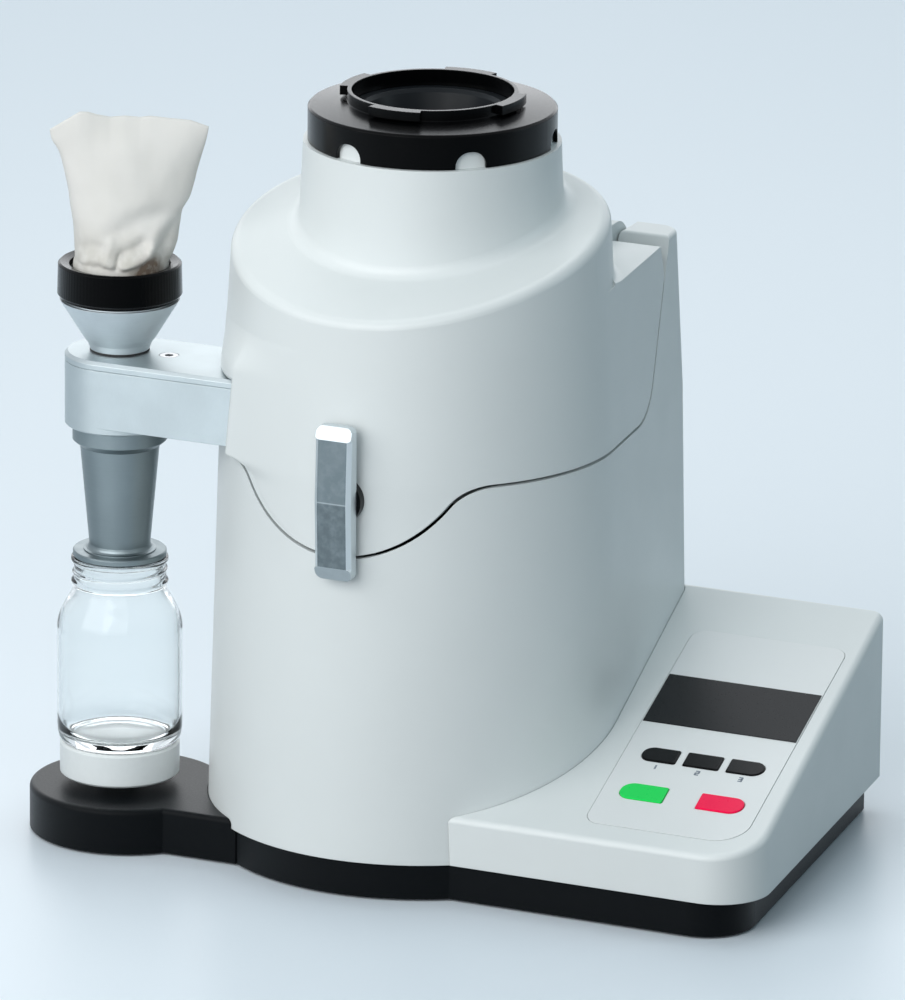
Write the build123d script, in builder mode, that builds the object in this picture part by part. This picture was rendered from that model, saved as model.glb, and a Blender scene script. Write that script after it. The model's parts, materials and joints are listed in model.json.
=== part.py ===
"""Bench cyclone mill: a tower with a hinged lid, a cyclone on a side arm and a sloping control console.

Millimetres, +X to the right, +Y to the back, +Z up. The origin is on the floor, in the middle of the
mill's box. Inside this file, spots are given from the upright axis of the tower.
"""

import os
from math import atan2, cos, degrees, hypot, pi, radians, sin, sqrt, tan

from build123d import *

os.makedirs("parts", exist_ok=True)

# General
wall = 4.0                    # moulded housings
overrun = 6.0                 # how far a cutting tool runs past what it cuts
seam = 0.3                    # gap between pieces that are laid against each other
running = 0.05                # radial clearance of a pin or shaft in its hole
key_gap = 0.35                # clearance round a key in its opening

# Tower: a round front that tapers in two steps, with flat sides that lean in to the back
foot_height = 21.5
foot_radius = 116.8
split_rise = 214.5
split_height = foot_height + split_rise   # joint between lid and housing, where the taper changes
split_radius = 111.2
drum_rise = 114.0
drum_height = split_height + drum_rise
drum_radius = 104.5
side_lean = 6.4               # degrees
back_reach = 157.0
back_corner = 13.0
ledge_rise = 88.0
ledge_height = split_height + ledge_rise  # flat top behind the round drum
horn_rise = 1.5
horn_height = ledge_height + horn_rise    # top of the two rear columns that carry the hinge
hinge_drop = 10.0
hinge_height = ledge_height - hinge_drop

# Joint between lid and housing
split_gap = 1.8
latch_x = 3.5                 # the latch sits a little to the right of the tower axis
dip_depth = 41.3              # how far the lid's tongue reaches below the level joint
dip_radius = 72.0
dip_shoulder = 25.0
dip_end = -60.0               # the dip is cut only in front of this
steep_foot = 81.1             # where the level joint would meet the steep one
steep_angle = 60.5            # degrees
steep_bend = 34.0
steep_relief_drop = 8.0
steep_relief_height = hinge_height - steep_relief_drop   # the lid's rear edge leans forward above this
steep_relief_back = 116.0

# Lid top and neck
crown_radius = 817.0
crown_rise = 49.5
crown_height = ledge_height + crown_rise
crown_back = 170.5
neck = (0.0, 13.0)            # axis of the neck, the chamber and the motor
neck_rise = 26.1
neck_top = crown_height + neck_rise
neck_root_radius = 74.4
neck_radius = 71.15
neck_bore = 62.0
collar_radius = 66.0          # seen through the notches of the black ring
collar_rise = 11.1
collar_top = neck_top + collar_rise
shoulder_fillet = 6.0
root_fillet = 8.0             # where the neck meets the crown
ledge_fillet = 5.0            # where the drum meets the ledge
ledge_hollow_start = 18.0

# Hinge
hinge_back = 137.0
hinge_pin_radius = 4.0
hinge_pin_half = 80.0
lug_radius = 11.0
lug_rise = 16.5
lug_top = hinge_height + lug_rise
lug_round = 16.0
lug_inner = 51.0
lug_outer = 60.5
bay_half = 61.5
bay_drop = 22.0
bay_floor = hinge_height - bay_drop
bay_front = 96.0
horn_solid_drop = 8.0
horn_solid = bay_floor - horn_solid_drop  # the columns are hollow up to here
horn_fillet = 2.5
lug_root = 96.0

# Black ring on the neck
ring_radius = 68.75
ring_inner = 66.4
ring_top_rise = 8.5
ring_top = collar_top + ring_top_rise
ring_rise = 2.2
ring_bevel = 1.2
ring_collar_outer = 47.0
ring_collar_inner = 44.8
ring_collar_rise = 8.3
ring_collar_top = ring_top + ring_collar_rise
tab_reach = 51.7
tab_height = 5.2
tab_span = 35.0               # degrees
tab_start = -1.2              # degrees
tab_count = 4
notch_count = 6
notch_start = -108.0          # degrees
notch_width = 17.5
notch_height = 9.4
notch_round_share = 0.85

# Feed funnel inside the ring
funnel_rim_radius = 44.4
funnel_sink = 9.0
funnel_rim_height = ring_collar_top - funnel_sink
funnel_rim_thick = 2.0
funnel_step_radius = 39.0
funnel_lip = 41.5
funnel_wall = 1.8
funnel_throat = 12.0
funnel_cone = 66.5
funnel_throat_height = funnel_rim_height - funnel_cone

# Latch on the lid
latch_drop = 9.0
latch_height = split_height - latch_drop
lever_length = 87.0
lever_width = 21.5
lever_thick = 9.5
lever_stand = 4.4
lever_end_drop = 4.5          # how far the face falls towards its ends
lever_end_slope = 7.5
lever_tent = 1.4              # the face is thickest across the middle
lever_chamfer = 2.2
lever_round = 4.0
bush_radius = 13.0
latch_shaft_radius = 5.0
cam_reach = 26.0
cam_width = 13.0
cam_thick = 4.0
cam_stand = 5.4
keeper_width = 26.0
keeper_thick = 3.0
keeper_stand = 2.1
keeper_drop = 21.0
keeper_lip = 16.0
keeper_leg = 18.0
keeper_top = latch_height - keeper_drop
keeper_shelf = keeper_top - keeper_lip
keeper_bottom = keeper_shelf - keeper_leg

# Grinding chamber
deck_drop = 6.0
deck_top = split_height - deck_drop
deck_thick = 8.0
deck_radius = 96.0
post_radius = 6.0
post_ring = 88.0
post_count = 4
post_start = 45.0             # degrees
chamber_radius = 82.0
chamber_bore = 76.5
chamber_floor = 6.0
shaft_gap = 1.5
chamber_height = 57.2
chamber_top = deck_top + chamber_height
seal_thick = 2.5
cover_height = chamber_top + seam + seal_thick
cover_tube = 40.0
neck_base = cover_height + cover_tube     # the neck's wall meets the cover's tube here
cover_thick = 5.0
cover_wall = 4.0
cover_hub = 8.0
spout_gap = 0.4
spout_clear = 3.0
funnel_spout_end = cover_height + spout_clear
seal_width = 5.0
sieve_radius = 56.0
sieve_thick = 2.0
sieve_height = 24.0
sieve_slots = 24
sieve_slot_width = 3.0
friction_outer = 61.0
friction_inner = 53.5
friction_height = 23.5
rotor_radius = 50.0
rotor_floor_gap = 4.0
rotor_disc = 6.0
rotor_blades = 12
blade_thick = 3.2
blade_length = 13.0
blade_height = 32.0
rotor_hub = 13.0
nut_radius = 9.0
nut_height = 6.0

# Motor under the deck
shaft_radius = 6.0
motor_radius = 56.0
motor_wall = 3.0
motor_length = 132.0
motor_bottom = deck_top - deck_thick - motor_length
shaft_below = 24.0
shaft_end = motor_bottom - shaft_below
cap_thick = 6.0
stator_bore = 36.0
stator_rise = 28.0
stator_length = 74.0
stator_bottom = motor_bottom + stator_rise
stator_top = stator_bottom + stator_length
armature_gap = 0.7
bearing_radius = 16.0
bearing_width = 8.0
fan_radius = 47.0
fan_rise = 4.0
fan_bottom = shaft_end + fan_rise
fan_disc = 2.0
fan_blades = 8
fan_blade_height = 8.0

# Base
base_side_inset = 8.5        # the base stands further in under the console's right wall
ground_gap = 1.5              # rubber feet lift the base by this much
base_inset = 2.0
base_floor = 5.0
base_wall = 6.0
foot_pad_radius = 9.0
foot_pad_depth = 3.5
foot_spots = [(-70.0, -60.0), (70.0, -60.0), (195.0, -60.0), (185.0, 125.0), (-70.0, 125.0)]

# Side arm and cyclone
bottle_spot = (-157.1, -56.6) # axis of the cyclone, its outlet and the bottle
arm_rise = 3.9
arm_bottom = split_height + arm_rise
arm_thick = 37.8
arm_top = arm_bottom + arm_thick
arm_half = 30.5
arm_cover_thick = 5.0
arm_chamfer = 1.8
arm_end = -62.0
arm_bore = 24.0
channel_front = -63.5
channel_back = -45.0
channel_floor = 6.1
channel_height = 22.0
channel_bottom = arm_bottom + channel_floor
channel_top = channel_bottom + channel_height
spigot_radius = 12.2
spigot_bore = 10.2
spigot_length = 43.7
spigot_end = arm_top - spigot_length
arm_screw_spot = (-127.3, -55.8)
arm_screw_radius = 5.6
arm_screw_socket = 2.6
arm_screw_shank = 2.5
arm_screw_length = 7.7
arm_screw_end = arm_top - arm_screw_length
arm_screw_seat = 1.6
arm_bottom_chamfer = 0.8
arm_boss_drop = 4.0           # the round end reaches this much lower
arm_groove = 0.4
spigot_gap = 0.35
cyclone_collar = 26.3
cyclone_collar_height = 9.0
cyclone_collar_end = arm_bottom - arm_boss_drop - cyclone_collar_height
cyclone_step = 3.6
cyclone_top_radius = 22.1
cyclone_end_radius = 17.0
cyclone_wall = 2.2
cyclone_foot = 3.2
cyclone_foot_edge = 0.5
foot_curve_shares = [(0.55, 0.1), (0.25, 0.32), (0.07, 0.65), (0.0, 1.0)]
disc_radius = 26.1
disc_thick = 3.7
disc_edge = 0.6
notch_gap = 1.3               # between the arm and the lid's cut-out
notch_inner = -50.0
hood_start = 50.0             # the lid's face leaves the round here, in front of the cut-out
hood_reach = 7.5
hood_edge = 3.1
hood_top = 4.0
hood_fade = 9.0

# Outlet cone, clamp ring and filter bag
outlet_foot = 16.5
outlet_swell = 17.9
outlet_swell_height = 5.0
outlet_throat = 20.5
outlet_throat_height = 8.5
outlet_rim = 33.3
outlet_rim_height = 29.5
outlet_wall = 2.2
outlet_thread = 30.8
outlet_thread_height = 46.0
o_ring_height = 0.9
o_ring_radius = 16.6
bag_ring_radius = 34.2
bag_ring_foot_radius = 34.6
bag_ring_lip = 28.0
bag_ring_stand = 30.3
bag_ring_height = 20.4
bag_ring_bottom = arm_top + bag_ring_stand
bag_ring_top = bag_ring_bottom + bag_ring_height
bag_ring_bevel = 2.6
bag_turn = 24.0               # degrees, the way the flat of the bag faces
bag_base_radius = 27.4
bag_foot_rise = 8.0
bag_foot = bag_ring_bottom + bag_foot_rise
bag_neck_rise = 1.6
bag_neck = bag_ring_top + bag_neck_rise
bag_height = 81.0             # above the neck
bag_half_width = 42.6         # at its top seam

# Sample bottle and its sprung rest
bottle_radius = 35.0
bottle_foot_radius = 32.3
rest_rise = 5.8
rest_height = 19.1
rest_gap = 0.3
pad_top = 26.8
rest_bottom = pad_top + rest_rise
bottle_bottom = rest_bottom + rest_height + rest_gap
bottle_height = 106.8
bottle_foot_rise = 6.5
bottle_side = 68.0
bottle_shoulder = bottle_bottom + bottle_side
bottle_neck_radius = 26.4
bottle_neck_height = 19.8
bottle_lip = 27.2
bottle_top = bottle_bottom + bottle_height
bottle_neck_bottom = bottle_top - bottle_neck_height
bottle_wall = 2.3
bottle_base = 8.0
neck_wall_share = 1.5
shoulder_rise_share = 0.62
shoulder_in_share = 0.27
foot_curve = 1.4
lip_height_b = 3.0
rest_radius = 33.5
rest_stem = 10.0
rest_stem_end = 15.0
rest_travel = 5.0
rest_edge = 1.2
guide_wall = 4.0
guide_floor = 3.0
spring_radius = 7.0
spring_wire = 0.5
spring_turns = 4

# Pad under the bottle
pad_spot = (-152.8, -54.8)
pad_radius = 55.1
pad_front = -93.0
pad_back = -13.5
pad_flare = 26.0
pad_edge = 3.0
pad_strip_end = -60.0

# Console
console_front = -98.2
console_back = 156.0
console_corner_x = 243.6      # where the front line and the right wall would meet
console_lean = 5.8            # degrees
console_corner = 30.0
console_rear_corner = 8.0
console_lip_rise = 27.8
console_lip = foot_height + console_lip_rise   # height of the top at its front edge
console_lip_back = 2.0
console_slope = 15.36         # degrees
console_wall = 3.0
console_edge = 4.0
console_inner_x = 60.0        # the console's box starts here, inside the tower

# Control panel, in the plane of the console's top
panel_x = 175.1
panel_y = 14.0
panel_width = 92.6
panel_height = 200.5
panel_lean = 4.6              # degrees
panel_corner = 9.0
panel_front_corner = 18.0
panel_thick = 1.2
panel_depth = 1.0
display_y = 27.4
display_height = 48.5
display_window_height = 30.0
display_window_width = 70.0
display_thick = 0.5
display_margin = 0.6
display_border = 3.0
board_depth = 9.0
board_thick = 1.6
board_width = 80.0
board_height = 156.0
board_post = 3.5
board_post_x = 35.5
board_post_front = -47.0
board_post_back = 72.0
speed_key_y = -28.1
speed_key_height = 13.0
speed_key_width = 21.0
speed_key_pitch = 25.7
speed_key_x = 0.8
run_key_y = -65.7
run_key_height = 14.8
run_key_width = 26.5
run_key_pitch = 46.3
run_key_x = 0.5
key_proud = 1.0
key_travel = 0.8
key_flange = 1.0
key_flange_thick = 1.1
key_switch_size = 6.0
key_round_share = 0.48
key_corner = 1.0
key_edge = 0.4

# Mains inlet and switch in the console's back
inlet_x = 150.0
inlet_rise = 36.5
inlet_height = foot_height + inlet_rise
inlet_width = 30.0
inlet_tall = 24.0
inlet_deep = 18.0
inlet_flange = 4.0
inlet_flange_thick = 1.0
inlet_pin = 1.6
inlet_pin_pitch = 7.0
switch_x = 190.0
switch_width = 21.0
switch_tall = 15.0
switch_deep = 14.0
switch_frame_wall = 2.5
switch_flange = 4.0
rocker_tilt = 8.0             # degrees
rocker_pin = 1.5
rocker_room = 0.5
rocker_back = 151.5
rocker_rise = 4.0
rocker_dish = 3.2
rocker_pin_reach = 1.5
vent_count = 9
vent_width = 4.0
vent_height = 60.0
vent_pitch = 12.0
vent_middle = 120.0

# Worked out from the sizes above
lean = radians(side_lean)
foot_step = split_height - foot_height
drum_step = drum_height - split_height


def tower_radius(height):
    """Radius of the tower's round front at a height."""
    if height < split_height:
        return split_radius + (foot_radius - split_radius) * (split_height - height) / foot_step
    return split_radius + (drum_radius - split_radius) * (height - split_height) / drum_step


latch_face = tower_radius(latch_height)
front_reach = latch_face + lever_stand + lever_thick
left_reach = pad_radius - pad_spot[0]
turned_corner = console_corner * ((1 + sin(radians(console_lean))) / cos(radians(console_lean)) - 1)
right_reach = console_corner_x - turned_corner
tower_x = (left_reach - right_reach) / 2
tower_y = (front_reach - back_reach) / 2
pieces = {}


def level(height, spot=(0, 0)):
    """Level sketch plane at a height, centred on an upright axis."""
    return Plane(origin=(tower_x + spot[0], tower_y + spot[1], height))


def upright(spot=(0, 0)):
    """Sketch plane through an upright axis: x runs to the right from it, y is the height."""
    return Plane(origin=(tower_x + spot[0], tower_y + spot[1], 0), x_dir=(1, 0, 0), z_dir=(0, -1, 0))


def side_view(x):
    """Sketch plane seen from the right: x runs to the back from the tower axis, y is the height."""
    return Plane(origin=(tower_x + x, tower_y, 0), x_dir=(0, 1, 0), z_dir=(1, 0, 0))


def front_view(y):
    """Sketch plane seen from the front: x runs to the right from the tower axis, y is the height."""
    return Plane(origin=(tower_x, tower_y + y, 0), x_dir=(1, 0, 0), z_dir=(0, -1, 0))


def turn(spot, outline, mode=Mode.ADD):
    """Turn an outline of (radius, height) points about an upright axis."""
    with BuildSketch(upright(spot)) as profile:
        with BuildLine():
            Polyline(*outline, close=True)
        make_face()
    axis = Axis((tower_x + spot[0], tower_y + spot[1], 0), (0, 0, 1))
    revolve(profile.sketch, axis=axis, mode=mode)


def tube(spot, outer, inner, bottom, top, mode=Mode.ADD):
    """Upright tube, or a plain cylinder where the inner radius is zero."""
    turn(spot, [(inner, bottom), (outer, bottom), (outer, top), (inner, top)], mode=mode)


def bar(x_span, y_span, z_span, mode=Mode.ADD):
    """Square block between two values on each axis, from the tower axis."""
    middle = ((x_span[0] + x_span[1]) / 2, (y_span[0] + y_span[1]) / 2)
    with BuildSketch(level(z_span[0], middle)) as plan:
        Rectangle(x_span[1] - x_span[0], y_span[1] - y_span[0])
    extrude(plan.sketch, amount=z_span[1] - z_span[0], mode=mode)


def tower_section(height, inset):
    """Level cut through the tower: round front, straight leaning sides and a back with round corners."""
    radius = tower_radius(height) - inset
    back = back_reach - inset
    half = (radius - back * sin(lean)) / cos(lean)
    touch = (radius * cos(lean), radius * sin(lean))
    with BuildSketch(level(height)) as section:
        with BuildLine():
            ThreePointArc((-touch[0], touch[1]), (0, -radius), touch)
            FilletPolyline(touch, (half, back), (-half, back), (-touch[0], touch[1]),
                           radius=back_corner - inset)
        make_face()
    return section.sketch


def tower_body(inset, bottom, top):
    """Tower below its ledge."""
    heights = [bottom, split_height, top]
    with BuildPart() as body:
        loft(sections=[tower_section(height, inset) for height in heights], ruled=True)
    return body.part


def under_crown(inset):
    """All the space under the lid's curved top."""
    reach = foot_radius + overrun
    arc_radius = crown_radius - inset
    centre = (crown_back, crown_height - crown_radius)
    with BuildPart() as space:
        with BuildSketch(side_view(0)) as profile:
            with BuildLine():
                start = (-reach, centre[1] + sqrt(arc_radius ** 2 - (reach + centre[0]) ** 2))
                end = (crown_back, centre[1] + arc_radius)
                middle_y = (crown_back - reach) / 2
                middle = (middle_y, centre[1] + sqrt(arc_radius ** 2 - (middle_y - centre[0]) ** 2))
                ThreePointArc(start, middle, end)
                Polyline(end, (crown_back, foot_height), (-reach, foot_height), start)
            make_face()
        extrude(profile.sketch, amount=reach, both=True)
    return space.part


def drum_body(inset, bottom):
    """Round drum of the lid, cut by its crown."""
    top = crown_height + overrun
    outline = [(0, bottom), (tower_radius(bottom) - inset, bottom), (split_radius - inset, split_height),
               (tower_radius(top) - inset, top), (0, top)]
    with BuildPart() as drum:
        turn((0, 0), outline)
        add(under_crown(inset), mode=Mode.INTERSECT)
    return drum.part


def lid_zone(grow, relief):
    """Space above the joint: level all round, steep at the back and dipping at the latch."""
    reach = back_reach + overrun
    top = ring_collar_top
    slope = tan(radians(steep_angle))
    base = split_height - grow
    foot = steep_foot + grow / sin(radians(steep_angle)) - grow / slope
    relief_y = foot + (steep_relief_height - base) / slope
    level_end = split_height - dip_shoulder
    dip_centre = split_height - dip_depth + dip_radius
    shoulder_x = sqrt((dip_radius + dip_shoulder) ** 2 - (dip_centre - level_end) ** 2)
    swing = degrees(atan2(dip_centre - level_end, shoulder_x))
    if relief:
        rear = [(relief_y, steep_relief_height), (steep_relief_back, ledge_height),
                (steep_relief_back, top)]
        corners = [0, steep_bend, 0, 0, 0, 0]
    else:
        rear = [(foot + (top - base) / slope, top)]
        corners = [0, steep_bend, 0, 0]
    with BuildPart() as zone:
        with BuildSketch(side_view(-reach)) as side:
            with BuildLine():
                FilletPolyline((-reach, base), (foot, base), *rear, (-reach, top),
                               radius=corners, close=True)
            make_face()
        extrude(side.sketch, amount=2 * reach)
        with BuildSketch(front_view(dip_end)) as front:
            with Locations((latch_x, 0)):
                with BuildLine() as dip:
                    CenterArc((-shoulder_x, level_end), dip_shoulder - grow, 90 - (90 - swing), 90 - swing)
                    CenterArc((0, dip_centre), dip_radius + grow, 180 + swing, 180 - 2 * swing)
                    CenterArc((shoulder_x, level_end), dip_shoulder - grow, 90, 90 - swing)
                    Polyline((shoulder_x, base), (shoulder_x, split_height + dip_shoulder),
                             (-shoulder_x, split_height + dip_shoulder), (-shoulder_x, base))
                make_face()
        extrude(front.sketch, amount=reach)
    return zone.part


arm_front = bottle_spot[1] - arm_half
arm_back = bottle_spot[1] + arm_half
notch_front = arm_front - notch_gap
notch_top = arm_top + notch_gap
notch_low = split_height - overrun
swing_radius = hypot(hinge_back - arm_back, hinge_height - arm_top) - notch_gap


def notch_back(height):
    """Rear edge of the cut-out: an arc about the hinge that clears the arm as the lid swings."""
    return hinge_back - sqrt(swing_radius ** 2 - (hinge_height - height) ** 2)


# Base: a shallow black tray under the tower and the console
def console_plan(height, inset, side_inset):
    """Plan of the console: straight front and back, right wall leaning in to the back."""
    front = console_front + inset
    back = console_back - inset
    slope = tan(radians(console_lean))
    right = console_corner_x - side_inset
    corners = [(console_inner_x, front), (right - slope * inset, front),
               (right - slope * (back - console_front), back), (console_inner_x, back)]
    with BuildSketch(level(height)) as plan:
        with BuildLine():
            FilletPolyline(*corners, close=True,
                           radius=[0, console_corner - inset, console_rear_corner, 0])
        make_face()
    return plan.sketch


with BuildPart() as base_plate:
    extrude(tower_section(foot_height, base_inset), amount=ground_gap - foot_height)
    extrude(console_plan(foot_height, base_inset, base_side_inset), amount=ground_gap - foot_height)
    base_hollow = ground_gap + base_floor - foot_height
    inner_inset = base_inset + base_wall
    extrude(tower_section(foot_height, inner_inset), amount=base_hollow, mode=Mode.SUBTRACT)
    extrude(console_plan(foot_height, inner_inset, base_side_inset + base_wall), amount=base_hollow,
            mode=Mode.SUBTRACT)
    for spot in foot_spots:
        tube(spot, foot_pad_radius, 0, -overrun, foot_pad_depth, mode=Mode.SUBTRACT)
pieces["base_plate"] = base_plate

with BuildPart() as base_feet:
    for spot in foot_spots:
        tube(spot, foot_pad_radius, 0, 0, foot_pad_depth)
pieces["base_feet"] = base_feet

# Lower housing with its steep bulkhead and the two columns that carry the hinge
with BuildPart() as housing_cavity:
    add(tower_body(wall, foot_height - overrun, horn_height))
    slope = tan(radians(steep_angle))
    steep_offset = (split_gap + wall) / sin(radians(steep_angle))
    lip_height = split_height - split_gap - wall
    lip_back = steep_foot - steep_bend * tan(radians(steep_angle / 2))
    reach = back_reach + overrun
    with BuildSketch(side_view(0)) as cavity_side:
        with BuildLine():
            Polyline((-reach, 0), (-reach, split_height + overrun), (lip_back, split_height + overrun),
                     (lip_back, lip_height),
                     (steep_foot + steep_offset + (lip_height - split_height) / slope, lip_height),
                     (steep_foot + steep_offset + (horn_solid - split_height) / slope, horn_solid),
                     (reach, horn_solid), (reach, 0), close=True)
        make_face()
    extrude(cavity_side.sketch, amount=reach, both=True, mode=Mode.INTERSECT)

sill_top = arm_bottom - seam
with BuildPart() as arm_sill:
    add(tower_body(0, lip_height, sill_top))
    add(tower_body(wall, lip_height - overrun, sill_top + overrun), mode=Mode.SUBTRACT)
    bar((-foot_radius - overrun, notch_inner), (arm_front, arm_back), (lip_height, sill_top),
        mode=Mode.INTERSECT)

with BuildPart() as lower_housing:
    add(tower_body(0, foot_height, horn_height))
    add(lid_zone(split_gap, False), mode=Mode.SUBTRACT)
    bar((-bay_half, bay_half), (bay_front, back_reach + overrun), (bay_floor, horn_height + overrun),
        mode=Mode.SUBTRACT)
    horn_edges = lower_housing.faces().filter_by(Axis.Z).sort_by(Axis.Z)[-2:].edges()
    fillet(horn_edges, horn_fillet)
    add(housing_cavity.part, mode=Mode.SUBTRACT)
    with BuildSketch(side_view(-hinge_pin_half - seam)) as pin_hole:
        with Locations((hinge_back, hinge_height)):
            Circle(hinge_pin_radius + running)
    extrude(pin_hole.sketch, amount=2 * (hinge_pin_half + seam), mode=Mode.SUBTRACT)
    with BuildSketch(front_view(back_reach + overrun)) as vents:
        with Locations((0, vent_middle)):
            with GridLocations(vent_pitch, vent_pitch, vent_count, 1):
                SlotOverall(vent_height, vent_width, rotation=90)
    extrude(vents.sketch, amount=wall + 2 * overrun, mode=Mode.SUBTRACT)
    tube(neck, chamber_radius + seam, 0, deck_top, chamber_top, mode=Mode.SUBTRACT)
    add(arm_sill.part)
pieces["lower_housing"] = lower_housing

with BuildPart() as hinge_pin:
    with BuildSketch(side_view(-hinge_pin_half)) as pin_end:
        with Locations((hinge_back, hinge_height)):
            Circle(hinge_pin_radius)
    extrude(pin_end.sketch, amount=2 * hinge_pin_half)
pieces["hinge_pin"] = hinge_pin

# Lid: a shell under the curved crown, with the neck, the arm's cut-out and two hinge lugs
lid_bottom = split_height - dip_depth - overrun
with BuildPart() as lid_cavity:
    add(drum_body(wall, lid_bottom - overrun))
    add(tower_body(wall, lid_bottom - overrun, ledge_height - wall))

with BuildPart() as ledge_hollow:
    drum_foot = tower_radius(ledge_height)
    with BuildSketch(upright()) as hollow_profile:
        with BuildLine():
            hollow_top = ledge_height + ledge_fillet
            Polyline((tower_radius(hollow_top), hollow_top), (drum_foot - wall / 2, hollow_top),
                     (drum_foot - wall / 2, ledge_height), (drum_foot + ledge_fillet, ledge_height))
            ThreePointArc((drum_foot + ledge_fillet, ledge_height),
                          (drum_foot + ledge_fillet * (1 - cos(pi / 4)), hollow_top - ledge_fillet * sin(pi / 4)),
                          (tower_radius(hollow_top), hollow_top))
        make_face()
    revolve(hollow_profile.sketch, axis=Axis((tower_x, tower_y, 0), (0, 0, 1)))
    extrude(tower_section(ledge_height, 0), amount=ledge_fillet, mode=Mode.INTERSECT)
    bar((-foot_radius, foot_radius), (drum_foot * sin(lean) + ledge_hollow_start, back_reach), (ledge_height, hollow_top),
        mode=Mode.INTERSECT)

with BuildPart() as lid_shell:
    add(tower_body(0, lid_bottom, ledge_height))
    add(drum_body(0, lid_bottom))
    add(lid_zone(0, True), mode=Mode.INTERSECT)
    rim = lid_shell.edges().filter_by(lambda edge: edge.bounding_box().size.X > 2 * neck_radius
                                      and edge.bounding_box().min.Z > ledge_height - wall
                                      and edge.bounding_box().size.Z > wall)
    fillet(rim, shoulder_fillet)
    turn(neck, [(0, neck_base), (neck_root_radius, neck_base), (neck_radius, neck_top), (0, neck_top)])
    root = lid_shell.edges().filter_by(lambda edge: 2 * neck_radius < edge.bounding_box().size.X
                                       and edge.bounding_box().size.X < 2 * neck_root_radius
                                       and edge.bounding_box().min.Z > neck_base
                                       and edge.bounding_box().max.Z < neck_top - root_fillet)
    fillet(root, root_fillet)
    add(ledge_hollow.part)
    add(lid_cavity.part, mode=Mode.SUBTRACT)
    turn(neck, [(neck_bore, neck_base), (neck_root_radius, neck_base), (neck_radius, neck_top),
                (collar_radius, neck_top), (collar_radius, collar_top), (neck_bore, collar_top)])
    tube(neck, neck_bore, 0, neck_base - overrun, collar_top, mode=Mode.SUBTRACT)
    for lug_start in (lug_inner, -lug_outer):
        with BuildSketch(side_view(lug_start)) as lug:
            with Locations((hinge_back, hinge_height)):
                Circle(lug_radius)
            with BuildLine():
                FilletPolyline((lug_root, ledge_height - wall / 2), (lug_root, lug_top),
                               (hinge_back + lug_radius, lug_top), (hinge_back + lug_radius, hinge_height),
                               (steep_relief_back - wall, ledge_height - wall / 2), close=True,
                               radius=[0, 0, lug_round, 0, 0])
            make_face()
        extrude(lug.sketch, amount=lug_outer - lug_inner)
    with BuildSketch(side_view(-lug_outer - overrun)) as lug_hole:
        with Locations((hinge_back, hinge_height)):
            Circle(hinge_pin_radius + running)
    extrude(lug_hole.sketch, amount=2 * (lug_outer + overrun), mode=Mode.SUBTRACT)
    notch_mid = (notch_low + notch_top) / 2
    with BuildSketch(side_view(-foot_radius - overrun)) as arm_notch:
        with BuildLine():
            ThreePointArc((notch_back(notch_low), notch_low), (notch_back(notch_mid), notch_mid),
                          (notch_back(notch_top), notch_top))
            Polyline((notch_back(notch_top), notch_top), (notch_front, notch_top),
                     (notch_front, notch_low), (notch_back(notch_low), notch_low))
        make_face()
    extrude(arm_notch.sketch, amount=foot_radius + overrun + notch_inner, mode=Mode.SUBTRACT)
    hood_faces = []
    for height, reach in ((split_height, hood_reach), (notch_top + hood_top, hood_reach),
                          (notch_top + hood_top + hood_fade, 0)):
        skin = tower_radius(height)
        with BuildSketch(level(height)) as hood_face:
            with BuildLine():
                edge_x = -sqrt(skin ** 2 - notch_front ** 2) - reach
                Polyline((-hood_start, -sqrt(skin ** 2 - hood_start ** 2)), (edge_x, notch_front - hood_edge),
                         (edge_x, notch_front), (-sqrt((skin - wall) ** 2 - notch_front ** 2), notch_front),
                         (-hood_start, -sqrt((skin - wall) ** 2 - hood_start ** 2)), close=True)
            make_face()
        hood_faces.append(hood_face.sketch)
    loft(sections=hood_faces, ruled=True)
    with BuildSketch(front_view(0)) as shaft_hole:
        with Locations((latch_x, latch_height)):
            Circle(latch_shaft_radius + running)
    extrude(shaft_hole.sketch, amount=foot_radius + overrun, mode=Mode.SUBTRACT)
pieces["lid_shell"] = lid_shell

# Feed opening: black ring with finger notches and bayonet tabs, and the funnel inside it
ring_bottom = neck_top + seam
ring_plate = collar_top + seam
lip_level = funnel_rim_height - funnel_rim_thick - seam
with BuildPart() as feed_ring:
    turn(neck, [(ring_inner, ring_bottom), (ring_radius, ring_bottom), (ring_radius, ring_top - ring_bevel),
                (ring_radius - ring_bevel, ring_top), (ring_collar_outer, ring_top + ring_rise),
                (ring_collar_outer, ring_collar_top), (ring_collar_inner, ring_collar_top),
                (ring_collar_inner, lip_level), (funnel_lip, lip_level), (funnel_lip, ring_plate),
                (ring_inner, ring_plate)])
    for index in range(notch_count):
        around = radians(notch_start + index * 360 / notch_count)
        outward = (cos(around), sin(around), 0)
        notch_plane = Plane(origin=(tower_x + neck[0], tower_y + neck[1], ring_bottom),
                            x_dir=(-sin(around), cos(around), 0), z_dir=outward)
        with BuildSketch(notch_plane.offset(neck_bore)) as notch_face:
            RectangleRounded(notch_width, 2 * notch_height, notch_height * notch_round_share)
        extrude(notch_face.sketch, amount=ring_radius - neck_bore + overrun, mode=Mode.SUBTRACT)
    for index in range(tab_count):
        middle = tab_start + index * 360 / tab_count
        with BuildSketch(level(ring_collar_top - tab_height, neck)) as tab:
            with BuildLine():
                CenterArc((0, 0), tab_reach, middle - tab_span / 2, tab_span)
                CenterArc((0, 0), ring_collar_inner, middle - tab_span / 2, tab_span)
                for side in (-1, 1):
                    around = radians(middle + side * tab_span / 2)
                    Line((ring_collar_inner * cos(around), ring_collar_inner * sin(around)),
                         (tab_reach * cos(around), tab_reach * sin(around)))
            make_face()
        extrude(tab.sketch, amount=tab_height)
pieces["feed_ring"] = feed_ring

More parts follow.
